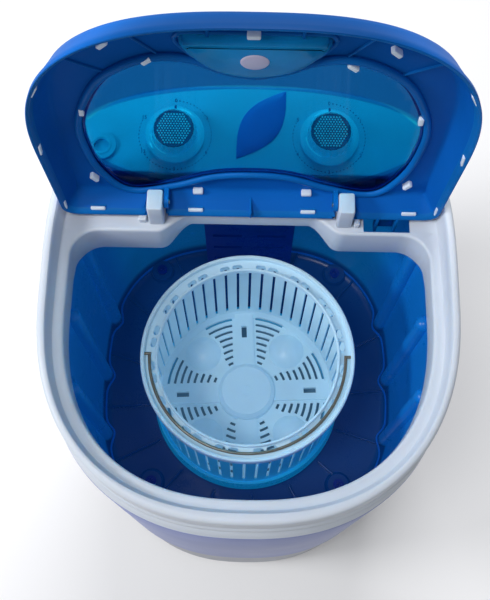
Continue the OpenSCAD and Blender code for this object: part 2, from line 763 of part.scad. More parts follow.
module water_inlet_port() color("deepskyblue") difference() {
    union() {
        on_panel() translate([-inlet_x, inlet_y, 0]) cylinder(r = inlet_flange_r, h = inlet_top);
        inlet_line(inlet_r, 0);
    }
    inlet_line(inlet_bore_r, inlet_top + bite);
}

module timer(side) on_panel() translate([side * knob_x, knob_y, -panel_t - timer_depth]) difference() {
    union() {
        cylinder(r = timer_r, h = timer_depth);
        translate([-timer_r - 5, -6, timer_depth - 3]) cube([2 * timer_r + 10, 12, 3]);
    }
    translate([0, 0, 8]) cylinder(r = knob_shaft_r + running_gap, h = timer_depth);
}
module wash_timer() color("silver") timer(-1);
module spin_timer() color("silver") timer(1);

module knob(side) on_panel() translate([side * knob_x, knob_y, 0]) {
    translate([0, 0, part_gap]) rotate_extrude() polygon([
        [0, 0], [knob_skirt_r, 0], [knob_skirt_r, knob_skirt_h * 0.5], [knob_cap_r + 3, knob_skirt_h],
        [knob_cap_r + 1, knob_skirt_h], [knob_cap_r, knob_h - part_gap - 2],
        [knob_cap_r - 2, knob_h - part_gap], [0, knob_h - part_gap]]);
    translate([0, 0, -panel_t - timer_depth + 10]) cylinder(r = knob_shaft_r, h = panel_t + timer_depth - 8);
}
module wash_knob() color("deepskyblue") knob(-1);
module spin_knob() color("deepskyblue") knob(1);

module switch_frame() on_panel() translate([tongue_x, switch_y + switch_d / 2, -panel_t]) children();

module lid_switch() color("dimgray") switch_frame() difference() {
    translate([-switch_w / 2, -switch_d / 2, -switch_h]) cube([switch_w, switch_d, switch_h]);
    translate([0, 0, -switch_h - bite]) cylinder(r = plunger_r + running_gap, h = switch_h - 1 + bite);
}

module switch_plunger() color("ivory") switch_frame() translate([0, 0, -switch_h - plunger_reach])
    cylinder(r = plunger_r, h = plunger_reach + switch_h - 1 - plunger_travel - 0.3);

module motor_plate() color("lightgray") difference() {
    translate([-spacer_x - plate_edge, spin_y - spacer_front - plate_edge, plate_z])
        cube([2 * (spacer_x + plate_edge), belt_span + spacer_front + spacer_rear + 2 * plate_edge,
              plate_t]);
    translate([0, spin_y, plate_z - bite]) cylinder(r = shaft_r + shaft_hole_gap, h = plate_t + 2 * bite);
    translate([0, spin_y + belt_span, plate_z - bite])
        cylinder(r = motor_shaft_r + motor_hole_gap, h = plate_t + 2 * bite);
}

module plate_spacers() color("gray") for (p = spacers)
    translate([p[0], p[1], plate_top]) cylinder(r = spacer_r, h = tub_bottom_z - plate_top);

module motor() color("slategray") translate(motor_place + [0, 0, plate_top]) difference() {
    union() {
        cylinder(r = motor_r, h = motor_h);
        for (a = [45, 135, 225, 315]) rotate([0, 0, a]) translate([motor_r - 2, -6, 0]) cube([10, 12, 4]);
    }
    for (i = [0 : 11]) rotate([0, 0, 30 * i]) translate([motor_r - 3, -2, motor_room])
        cube([6, 4, motor_h - 2 * motor_room]);
    translate([0, 0, -bite]) cylinder(r = motor_shaft_r + running_gap, h = motor_h - 8);
}

module motor_shaft() color("silver") translate(motor_place + [0, 0, shaft_bottom])
    cylinder(r = motor_shaft_r, h = plate_top + motor_h - motor_room - shaft_bottom);

module pulley(r, bore, flange) difference() {
    union() {
        cylinder(r = r, h = pulley_h);
        cylinder(r = r + flange, h = flange_t);
        translate([0, 0, pulley_h - flange_t]) cylinder(r = r + flange, h = flange_t);
    }
    translate([0, 0, -bite]) cylinder(r = bore, h = pulley_h + 2 * bite);
}
module motor_pulley() color("lightgray") translate(motor_place + [0, 0, pulley_z])
    pulley(small_pulley_r, motor_shaft_r, belt_t + 1);

module drive_pulley() color("lightgray") translate(spin_place + [0, 0, pulley_z]) difference() {
    pulley(big_pulley_r, shaft_r, belt_t + 1);
    for (i = [0 : 4]) rotate([0, 0, 72 * i]) translate([lightening_place, 0, -bite])
        cylinder(r = lightening_r, h = pulley_h + 2 * bite);
}

module drive_belt() color("black") translate(spin_place)
    ring(belt_loop(big_pulley_r + part_gap + belt_t, small_pulley_r + part_gap + belt_t),
         belt_loop(big_pulley_r + part_gap, small_pulley_r + part_gap), belt_z, belt_z + belt_h);

module drive_shaft() color("silver") translate(spin_place + [0, 0, shaft_bottom]) difference() {
    cylinder(r = shaft_r, h = shaft_top - shaft_bottom);
    translate([0, 0, shaft_top - shaft_bottom - screw_depth]) cylinder(r = screw_r, h = screw_depth + bite);
}

module bearing_housing() color("darkgray") translate(spin_place + [0, 0, plate_top]) difference() {
    union() {
        cylinder(r = bearing_r + housing_wall, h = tub_bottom_z - plate_top);
        cylinder(r = bearing_r + housing_foot_r, h = housing_foot_t);
        translate([0, 0, tub_bottom_z - plate_top - housing_head_t])
            cylinder(r = bearing_r + housing_head_r, h = housing_head_t);
    }
    translate([0, 0, -bite]) cylinder(r = bearing_r, h = tub_bottom_z - plate_top + 2 * bite);
}

module bearing() difference() {
    tube(bearing_r, shaft_r + running_gap, bearing_h);
    for (z = [-bite, bearing_h - 1]) translate([0, 0, z]) tube(bearing_r - 1.5, shaft_r + 1.5, 1 + bite);
}
module upper_bearing() color("silver")
    translate(spin_place + [0, 0, tub_bottom_z - upper_bearing_drop - bearing_h]) bearing();
module lower_bearing() color("silver")
    translate(spin_place + [0, 0, plate_top + lower_bearing_rise]) bearing();

module shaft_seal() color("black") translate(spin_place + [0, 0, tub_bottom_z - seal_drop])
    tube(bearing_r, shaft_r + running_gap, seal_drop + tub_floor_t + seal_rise);

module pulsator() color("deepskyblue") translate(spin_place + [0, 0, pulsator_z]) {
    rotate_extrude() polygon([
        [shaft_r, 0], [pulsator_r - 7, 0], [pulsator_r, 8], [rim_r, pulsator_h], [rim_r - 2, pulsator_h],
        [rim_r - 2, seat_h], [rim_r - 2 - pulsator_ledge, seat_h], [rim_r - 2 - pulsator_ledge, seat_h - 3],
        [rim_r - 4, seat_h - 6], [rim_r - 5, 8], [rim_r - 10, 4], [pulsator_hub_r + 4, 4],
        [pulsator_hub_r, seat_h], [screw_r, seat_h], [screw_r, seat_h - 3], [shaft_r, seat_h - 3]]);
    for (i = [0 : vanes - 1]) rotate([0, 0, 360 * i / vanes + 30]) translate([pulsator_hub_r, -1.5, 3])
        cube([rim_r - 7 - pulsator_hub_r, 3, seat_h - 10]);
}

module pulsator_screw() color("silver") translate(spin_place + [0, 0, seat_z]) {
    cylinder(r = 7, h = 2);
    translate([0, 0, -screw_depth - 3 + 1]) cylinder(r = screw_r, h = screw_depth + 2);
}

module spin_basket() color("lightblue") translate(spin_place) rotate([0, 0, basket_turn]) difference() {
    union() {
        rotate_extrude() polygon([
            [0, basket_floor_z], [basket_r - basket_t, basket_floor_z], [basket_r - basket_t, basket_foot_z],
            [basket_r, basket_foot_z], [basket_r, ring_z], [basket_r - basket_t, ring_z],
            [basket_r - basket_t, basket_floor_top + 6], [basket_r - basket_t - 6, basket_floor_top],
            [0, basket_floor_top]]);
        rotate_extrude() polygon([
            [0, basket_floor_top - bite], [hub_r + 2, basket_floor_top - bite],
            [hub_r + 1, basket_floor_top + hub_h - 4], [hub_r - 3, basket_floor_top + hub_h],
            [0, basket_floor_top + hub_h]]);
        translate([0, 0, basket_floor_top + hub_h - bite]) tube(7, 5, bite + 0.8);
        for (a = [0 : 90 : 270]) rotate([0, 0, a])
            translate([hub_r - 2, -beam_w / 2, basket_floor_top - bite])
                cube([basket_r - basket_t - hub_r + 1, beam_w, 4 + bite]);
        for (a = [45 : 90 : 315]) rotate([0, 0, a]) translate([dome_place_r, 0, basket_floor_top]) dome();
    }
    for (i = [0 : wall_slots - 1]) rotate([0, 0, 360 * (i + 0.5) / wall_slots])
        translate([basket_r - basket_t - 2, -wall_slot_w / 2, basket_floor_top + 12])
            cube([basket_t + 4, wall_slot_w, ring_z - wall_band - basket_floor_top - 12]);
    for (q = [0 : 3], m = [0, 1], k = [0 : 7]) rotate([0, 0, 90 * q]) mirror([m, -m, 0])
        floor_slot(hub_r + 8 + arc_slot_pitch * k);
    for (a = [0, 90, 180]) rotate([0, 0, a]) translate([64, -3, basket_floor_z - bite]) cube([14, 6, 12]);
}

module dome() intersection() {
    translate([0, 0, dome_h - (dome_r * dome_r + dome_h * dome_h) / (2 * dome_h)])
        sphere(r = (dome_r * dome_r + dome_h * dome_h) / (2 * dome_h));
    translate([-dome_r, -dome_r, -bite]) cube([2 * dome_r, 2 * dome_r, dome_h + 2 * bite]);
}

// One arc slot beside the beam that lies along +x, ending at the dome's edge
module floor_slot(r) {
    near = asin((beam_w / 2 + 3) / r);
    clear = dome_r + 3;
    reach = abs(r - dome_place_r) < clear
        ? acos((r * r + dome_place_r * dome_place_r - clear * clear) / (2 * r * dome_place_r)) : 0;
    far = 45 - max(reach, 15);
    if (far - near > 3) translate([0, 0, basket_floor_z - bite])
        linear_extrude(height = basket_floor_t + 2 * bite)
            polygon(concat(arc(0, 0, r - arc_slot_w / 2, near, far, 4),
                           arc(0, 0, r + arc_slot_w / 2, far, near, 4)));
}

module basket_collar() color("aliceblue") translate(spin_place) difference() {
    rotate_extrude() polygon([
        [collar_bore_r, ring_z], [collar_r - 3, ring_z], [collar_r, ring_z + 2], [collar_r, ring_top - 2],
        [collar_r - 2, ring_top],
        [bail_r + bail_groove_w / 2, ring_top], [bail_r + bail_groove_w / 2, groove_floor_z],
        [bail_r - bail_groove_w / 2, groove_floor_z], [bail_r - bail_groove_w / 2, ring_top],
        [collar_bore_r + 2, ring_top], [collar_bore_r, ring_top - 2]]);
    for (i = [0 : ring_slots / 2 - 1], sx = [-1, 1])
        rotate([0, 0, 720 * (i + 0.5) / ring_slots + sx * ring_slot_turn])
            translate([0, 0, ring_z - bite]) linear_extrude(height = ring_h)
                polygon(concat(arc(0, 0, bail_r - 5.5, -ring_slot_half, ring_slot_half, 4),
                               arc(0, 0, bail_r - 1.5, ring_slot_half, -ring_slot_half, 4)));
    for (i = [0 : 7]) rotate([0, 0, 45 * i + 22.5]) translate([collar_r - 1.2, -5, ring_z - bite])
        cube([4, 10, ring_h + 2 * bite]);
    translate([-bail_r - 6, 0, bail_z]) rotate([0, 90, 0])
        cylinder(r = bail_wire_r + running_gap, h = 2 * bail_r + 12);
}

module basket_bail() color("dimgray") translate(spin_place + [0, 0, bail_z]) {
    rotate([0, 0, 180]) rotate_extrude(angle = 180) translate([bail_r, 0]) circle(r = bail_wire_r);
    for (sx = [-1, 1]) translate([sx * (bail_r + 2) - 3.5, 0, 0]) rotate([0, 90, 0])
        cylinder(r = bail_wire_r, h = 7);
}

module drain_pipe() color("white") difference() {
    union() {
        translate([-drain_x, drain_y, drain_z]) cylinder(r = drain_r, h = tub_bottom_z - drain_z);
        translate([-drain_x, drain_y, drain_z]) rotate([-90, 0, 0])
            cylinder(r = drain_r, h = drain_end - drain_nose - drain_y);
        translate([-drain_x, drain_y, drain_z]) rotate([-90, 0, 0])
            cylinder(r = drain_r - 1, h = drain_end - drain_y);
        translate([-drain_x, drain_y, drain_z]) sphere(r = drain_r);
    }
    translate([-drain_x, drain_y, drain_z]) cylinder(r = drain_bore_r, h = tub_bottom_z - drain_z + bite);
    translate([-drain_x, drain_y, drain_z]) rotate([-90, 0, 0])
        cylinder(r = drain_bore_r, h = drain_end - drain_y + bite);
    translate([-drain_x, drain_y, drain_z]) sphere(r = drain_bore_r);
}

module capacitor() color("whitesmoke") translate([-78, 20, floor_z]) {
    cylinder(r = capacitor_r, h = capacitor_h);
    for (sx = [-1, 1]) translate([sx * 6 - 2, -1, capacitor_h - bite]) cube([4, 1, 8]);
}

module back_cover() color("gainsboro") difference() {
    translate([-cover_half_w, back_face_y, cover_z]) cube([2 * cover_half_w, cover_t, cover_h]);
    for (p = cover_holes) translate([p[0], back_face_y - bite, p[1]]) rotate([-90, 0, 0])
        cylinder(r = screw_r, h = cover_t + 2 * bite);
    for (i = [-4 : 4]) translate([14 * i - 3, back_face_y - bite, cover_z + 0.3 * cover_h])
        cube([6, cover_t + 2 * bite, 0.4 * cover_h]);
}

module back_cover_screws() color("gray") for (p = cover_holes)
    translate([p[0], back_face_y + cover_t, p[1]]) rotate([-90, 0, 0]) {
        cylinder(r1 = screw_head_r, r2 = screw_head_r - 1, h = 2);
        translate([0, 0, -cover_t - 6]) cylinder(r = screw_r, h = cover_t + 6);
    }

module cord_gland() color("dimgray") translate([gland_x, gland_y, drain_z]) rotate([-90, 0, 0])
    difference() {
        union() {
            cylinder(r = gland_r, h = gland_end - gland_y);
            cylinder(r = gland_r + gland_flange, h = gland_flange);
        }
        translate([0, 0, -bite]) cylinder(r = gland_bore_r, h = gland_end - gland_y + 2 * bite);
    }

// Cylinder whose top is the lid's crowned top when closed, lowered by drop
module crown(drop) translate([-big / 2, crown_centre[0], crown_centre[1]]) rotate([0, 90, 0])
    cylinder(r = lid_crown_r - drop, h = big, $fn = 180);

module crown_layer(top, bottom) difference() {
    crown(top);
    crown(bottom);
}

// Solid from the lid's sloped free edge up to its crowned top, drawn closed, with the skirt leaning in
module lid_form(g, drop, below) intersection() {
    translate([0, -lid_front, lid_front_edge_z]) rotate([lid_edge_slope, 0, 0])
        translate([0, lid_len + g, -below])
            linear_extrude(height = lid_span_z + below, scale = lid_shrink, slices = 1)
                translate([0, -lid_rear - g]) polygon(lid_loop(g));
    crown(drop);
}

module window_hole(g) translate([0, 0, shelf_z]) linear_extrude(height = lid_span_z)
    polygon(grown(window_loop(), g));

module lid_frame() color("blue", 0.6) opened() {
    difference() {
        lid_form(0, 0, 0);
        lid_form(-lid_t, lid_t, bite);
        window_hole(0);
        scoop_block(0);
        for (sx = [-1, 1]) translate([sx * post_x - post_w / 2 - notch_gap, hinge_y + post_r + 2, shelf_z])
            cube([post_w + 2 * notch_gap, notch_room, lid_rear_z - shelf_z - lid_t - 3]);
    }
    for (sx = [-1, 1]) hinge_ear(sx);
    switch_tongue();
}

module hinge_ear(side) translate([side < 0 ? -ear_x - ear_t : ear_x, 0, 0]) difference() {
    union() {
        translate([0, hinge_y, hinge_z]) rotate([0, 90, 0]) cylinder(r = ear_r, h = ear_t);
        translate([0, hinge_y - ear_r, hinge_z]) cube([ear_t, 2 * ear_r, ear_top_z - hinge_z]);
    }
    translate([-bite, hinge_y, hinge_z]) rotate([0, 90, 0])
        cylinder(r = pin_r + running_gap, h = ear_t + 2 * bite);
}

// The tongue reaches back behind the hinge when the lid is closed
module switch_tongue() translate([tongue_x - tongue_w / 2, 0, 0]) difference() {
    translate([0, lid_rear - lid_t, hinge_z - tongue_back])
        cube([tongue_w, hinge_y + tongue_reach - lid_rear + lid_t, tongue_depth]);
    translate([tongue_t, lid_rear + tongue_t, hinge_z - tongue_back - bite])
        cube([tongue_w - 2 * tongue_t, tongue_reach, tongue_depth - tongue_t + bite]);
}

module lid_window() color("skyblue", 0.4) opened() union() {
    intersection() {
        crown_layer(0, lid_t);
        window_hole(0);
    }
    difference() {
        intersection() {
            crown_layer(lid_t, lid_t + window_t);
            window_hole(window_rebate);
        }
        scoop_block(0);
        for (sx = [-1, 1]) translate([sx * (ear_x + ear_t / 2) - ear_t, hinge_y - ear_r - bite, hinge_z])
            cube([2 * ear_t, 2 * (ear_r + bite), lid_span_z]);
    }
}

module scoop_block(inset)
    translate([-scoop_w / 2 + inset, lid_rear - scoop_s - scoop_len / 2 + inset, lid_front_edge_z + 4])
        cube([scoop_w - 2 * inset, scoop_len - 2 * inset, lid_span_z]);

module lid_finger_scoop() color("lightskyblue", 0.5) opened() difference() {
    intersection() {
        crown_layer(0, scoop_depth);
        scoop_block(0);
    }
    intersection() {
        crown_layer(-scoop_depth, scoop_depth - 2);
        scoop_block(2);
    }
}

module lid_badge() color("plum") opened() intersection() {
    translate([0, lid_rear - scoop_s, shelf_z]) cylinder(r = badge_r, h = lid_span_z);
    crown_layer(scoop_depth - 2 - badge_t, scoop_depth - 2);
}

module hinge_pins() color("silver") for (sx = [-1, 1])
    translate([sx > 0 ? ear_x - 1 : -pin_end, hinge_y, hinge_z]) rotate([0, 90, 0])
        cylinder(r = pin_r, h = pin_end - ear_x + 1);

base_housing();
rubber_feet();
seam_band();
outer_shell();
top_frame();
wash_tub();
tub_screws();
filter_column();
control_panel();
panel_leaf_inlay();
water_inlet_port();
wash_timer();
spin_timer();
wash_knob();
spin_knob();
lid_switch();
switch_plunger();
motor_plate();
plate_spacers();
motor();
motor_shaft();
motor_pulley();
drive_belt();
drive_pulley();
drive_shaft();
bearing_housing();
upper_bearing();
lower_bearing();
shaft_seal();
pulsator();
pulsator_screw();
spin_basket();
basket_collar();
basket_bail();
drain_pipe();
capacitor();
back_cover();
back_cover_screws();
cord_gland();
lid_frame();
lid_window();
lid_finger_scoop();
lid_badge();
hinge_pins();
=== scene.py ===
"""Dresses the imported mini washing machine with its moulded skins, clear lid and finishes."""

import logging
import math
from dataclasses import dataclass, field
from enum import Enum
from typing import Any, Callable, Iterable, Sequence, Union

import bmesh
import bpy
import numpy as np
from mathutils import Matrix, Vector
from mathutils.geometry import delaunay_2d_cdt


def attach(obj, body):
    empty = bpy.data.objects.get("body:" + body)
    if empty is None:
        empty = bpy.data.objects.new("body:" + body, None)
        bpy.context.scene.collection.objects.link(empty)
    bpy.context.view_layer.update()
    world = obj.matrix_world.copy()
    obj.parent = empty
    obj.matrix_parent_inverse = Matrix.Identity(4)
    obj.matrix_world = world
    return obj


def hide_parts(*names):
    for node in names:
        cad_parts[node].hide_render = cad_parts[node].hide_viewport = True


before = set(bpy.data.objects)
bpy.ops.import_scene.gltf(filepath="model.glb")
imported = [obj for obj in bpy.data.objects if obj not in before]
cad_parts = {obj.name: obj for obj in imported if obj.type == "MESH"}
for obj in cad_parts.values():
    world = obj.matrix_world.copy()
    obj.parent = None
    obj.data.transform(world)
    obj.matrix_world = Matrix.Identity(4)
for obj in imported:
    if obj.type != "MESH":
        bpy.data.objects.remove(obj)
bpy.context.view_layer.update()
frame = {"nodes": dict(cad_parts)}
MM = 0.001
STEPS = 360
log = logging.getLogger("washer")

Colour = tuple[float, float, float]
Loop = np.ndarray
Value = Union["Sock", float, int, Sequence[float]]


# Shader maths
class Sock:
    """A shader socket whose operators add Math nodes to its tree."""

    def __init__(self, net: "Net", link: Any) -> None:
        """Wraps one output socket of a tree."""
        self.net = net
        self.link = link

    def _math(self, kind: str, first: Value, second: Value = 0.0, clamp: bool = False) -> "Sock":
        """Adds one Math node."""
        return self.net.node("ShaderNodeMath", {"operation": kind, "use_clamp": clamp}, {0: first, 1: second})

    def __add__(self, other: Value) -> "Sock":
        """Sum."""
        return self._math("ADD", self, other)

    __radd__ = __add__

    def __mul__(self, other: Value) -> "Sock":
        """Product."""
        return self._math("MULTIPLY", self, other)

    __rmul__ = __mul__

    def __sub__(self, other: Value) -> "Sock":
        """Difference."""
        return self._math("SUBTRACT", self, other)

    def __rsub__(self, other: Value) -> "Sock":
        """Difference from a number or socket on the left."""
        return self._math("SUBTRACT", other, self)

    def __truediv__(self, other: Value) -> "Sock":
        """Quotient."""
        return self._math("DIVIDE", self, other)

    def __rtruediv__(self, other: Value) -> "Sock":
        """Quotient of a number or socket on the left."""
        return self._math("DIVIDE", other, self)

    def __pow__(self, other: Value) -> "Sock":
        """Power."""
        return self._math("POWER", self, other)

    def clamped(self) -> "Sock":
        """The value kept between 0 and 1."""
        return self._math("ADD", self, 0.0, True)

    def eased(self, low: float, high: float) -> "Sock":
        """A soft step from 0 at low to 1 at high."""
        settings = {"interpolation_type": "SMOOTHSTEP"}
        return self.net.node("ShaderNodeMapRange", settings, {"Value": self, "From Min": low, "From Max": high})


class Net:
    """The node tree of one material or of the world."""

    def __init__(self, tree: bpy.types.NodeTree) -> None:
        """Empties the tree and keeps it."""
        self.tree = tree
        tree.nodes.clear()

    def node(self, kind: str, settings: dict[str, Any], inputs: dict[Any, Value], out: Any = 0) -> Sock:
        """Adds a node of any type.

        Args:
            kind: the node's type name.
            settings: its properties, set before its sockets are.
            inputs: values or links by socket name or index.
            out: the output that is wrapped.

        Returns:
            The wrapped output socket.
        """
        made = self.tree.nodes.new(kind)
        for key, setting in settings.items():
            if key == "stops":
                self._stops(made.color_ramp, setting)
            else:
                setattr(made, key, setting)
        for key, value in inputs.items():
            if isinstance(value, Sock):
                self.tree.links.new(value.link, made.inputs[key])
            else:
                made.inputs[key].default_value = value
        return Sock(self, made.outputs[out] if made.outputs else None)

    @staticmethod
    def _stops(ramp: bpy.types.ColorRamp, stops: Sequence[tuple[float, Sequence[float]]]) -> None:
        """Sets the stops of a colour ramp.

        Args:
            ramp: the ramp.
            stops: place and colour of each stop.
        """
        while len(ramp.elements) > 1:
            ramp.elements.remove(ramp.elements[-1])
        for index, (place, colour) in enumerate(stops):
            element = ramp.elements[0] if index == 0 else ramp.elements.new(place)
            element.position = place
            element.color = colour

    def place(self) -> Sock:
        """Object coordinates, in metres."""
        return self.node("ShaderNodeTexCoord", {}, {}, "Object")

    def noise(self, scale: float, detail: float = 3.0, stretch: Sequence[float] = (1, 1, 1)) -> Sock:
        """Noise over the object, around 0.5.

        Args:
            scale: features per metre.
            detail: octaves of the noise.
            stretch: factor on each axis.

        Returns:
            The noise factor.
        """
        spread = self.node("ShaderNodeVectorMath", {"operation": "MULTIPLY"}, {0: self.place(), 1: tuple(stretch)})
        return self.node("ShaderNodeTexNoise", {}, {"Vector": spread, "Scale": scale, "Detail": detail})

    def mix(self, factor: Value, first: Value, second: Value, blend: str = "MIX") -> Sock:
        """Mixes two colours.

        Args:
            factor: share of the second colour.
            first: colour at 0.
            second: colour at 1.
            blend: the blend type.

        Returns:
            The mixed colour.
        """
        settings = {"data_type": "RGBA", "blend_type": blend, "clamp_factor": True}
        return self.node("ShaderNodeMix", settings, {0: factor, 6: first, 7: second}, 2)

    def oval(self, centre: Sequence[float], reach: Sequence[float]) -> Sock:
        """Distance from a centre, 1 on an ellipsoid round it.

        Args:
            centre: its middle in metres.
            reach: half sizes in metres.

        Returns:
            The scaled distance.
        """
        moved = self.node("ShaderNodeVectorMath", {"operation": "SUBTRACT"}, {0: self.place(), 1: tuple(centre)})
        scaled = self.node("ShaderNodeVectorMath", {"operation": "DIVIDE"}, {0: moved, 1: tuple(reach)})
        return self.node("ShaderNodeVectorMath", {"operation": "LENGTH"}, {0: scaled}, "Value")


def linear(red: int, green: int, blue: int) -> Colour:
    """A display colour, 0 to 255, as a scene-linear one."""
    parts = [value / 255 for value in (red, green, blue)]
    return tuple(p / 12.92 if p <= 0.04045 else ((p + 0.055) / 1.055) ** 2.4 for p in parts)


def rgba(colour: Sequence[float], factor: float = 1.0) -> tuple[float, float, float, float]:
    """A colour times a factor, with full alpha."""
    return (*(min(1.0, part * factor) for part in colour), 1.0)


# Finishes
@dataclass(frozen=True)
class Shade:
    """Painted light or shade: a second colour that takes over away from a centre.

    Args:
        colour: the colour far from the centre.
        centre: middle in metres.
        reach: half sizes in metres.
        low: scaled distance at which it starts.
        high: scaled distance at which it is full.
    """

    colour: Colour
    centre: tuple[float, float, float]
    reach: tuple[float, float, float]
    low: float
    high: float


@dataclass(frozen=True)
class Finish:
    """A moulded or drawn surface with soft colour, gloss and grain changes, and painted light or shade where it is
    given.

    Args:
        name: name of the material.
        colour: its main colour.
        rough: mean roughness.
        vary: strength of the colour change.
        rough_vary: strength of the roughness change.
        cloud: broad features per metre.
        grain: fine features per metre.
        bump: height of the fine grain in metres.
        metal: metallic share.
        coat: clear coat weight.
        glow: share of light that passes inside the wall.
        clear: transmission weight.
        ior: index of refraction.
        stretch: noise factor per axis, for a drawn or brushed grain.
        shades: areas of painted light or shade, colours that take over from the main one.
        scuff: strength of the lighter worn marks.
        shine: level of the plain reflection.
        painted_glow: painted glow, an emission of its own colour as a share of it; it stands in for light through
            translucent walls, and on the opaque clips, knob dots and badge it is painted glow alone.
    """

    name: str
    colour: Colour
    rough: float = 0.35
    vary: float = 0.06
    rough_vary: float = 0.08
    cloud: float = 14.0
    grain: float = 900.0
    bump: float = 0.00003
    metal: float = 0.0
    coat: float = 0.0
    glow: float = 0.0
    clear: float = 0.0
    ior: float = 1.46
    stretch: tuple[float, float, float] = (1, 1, 1)
    shades: tuple[Shade, ...] = ()
    scuff: float = 0.0
    shine: float = 0.5
    painted_glow: float = 0.0

    def colouring(self, net: Net) -> Sock:
        """The colour over the surface, with its areas of painted light or shade.

        Args:
            net: the material's nodes.

        Returns:
            The socket that gives it.
        """
        soft = net.noise(self.cloud, 2.0)
        tone = net.mix(soft.eased(0.3, 0.7), rgba(self.colour, 1 - self.vary), rgba(self.colour, 1 + self.vary))
        # Each oval area of painted light or shade swaps in its own colour.
        for shade in self.shades:
            far = net.oval(shade.centre, shade.reach).eased(shade.low, shade.high)
            tone = net.mix(far, tone, rgba(shade.colour))
        fine = net.noise(self.grain, 2.0, self.stretch).eased(0.35, 0.65)
        tone = net.mix(fine * (0.6 * self.vary), tone, rgba(self.colour, 0.5))
        if self.scuff > 0:
            marks = net.noise(45.0, 8.0, (1, 1, 4)).eased(0.62, 0.74)
            tone = net.mix(marks * self.scuff, tone, rgba(self.colour, 1.35))
        return tone

    def material(self) -> bpy.types.Material:
        """Builds the material once and keeps it under its name.

        Returns:
            The material.
        """
        if self.name in bpy.data.materials and bpy.data.materials[self.name].get("washer"):
            return bpy.data.materials[self.name]
        made = bpy.data.materials.new(self.name)
        made["washer"] = True
        made.use_nodes = True
        net = Net(made.node_tree)
        patches = net.noise(self.cloud * 2.3, 4.0) - 0.5
        fine = net.noise(self.grain, 3.0, self.stretch)
        rough = (patches * (2 * self.rough_vary) + self.rough + (fine - 0.5) * self.rough_vary).clamped()
        bump = net.node("ShaderNodeBump", {}, {"Strength": 0.6, "Distance": self.bump, "Height": fine}, "Normal")
        colour = self.colouring(net)
        inputs = {
            "Base Color": colour,
            # Painted glow: the surface emits its own colour at the finish's glow share.
            "Emission Color": colour,
            "Emission Strength": self.painted_glow,
            "Specular IOR Level": self.shine,
            "Roughness": rough,
            "Metallic": self.metal,
            "IOR": self.ior,
            "Coat Weight": self.coat,
            "Coat Roughness": 0.12,
            "Transmission Weight": self.clear,
            "Subsurface Weight": self.glow,
            "Subsurface Radius": (0.004, 0.006, 0.01),
            "Subsurface Scale": 1.0,
            "Normal": bump,
        }
        shader = net.node("ShaderNodeBsdfPrincipled", {}, inputs, "BSDF")
        net.node("ShaderNodeOutputMaterial", {}, {"Surface": shader})
        return made


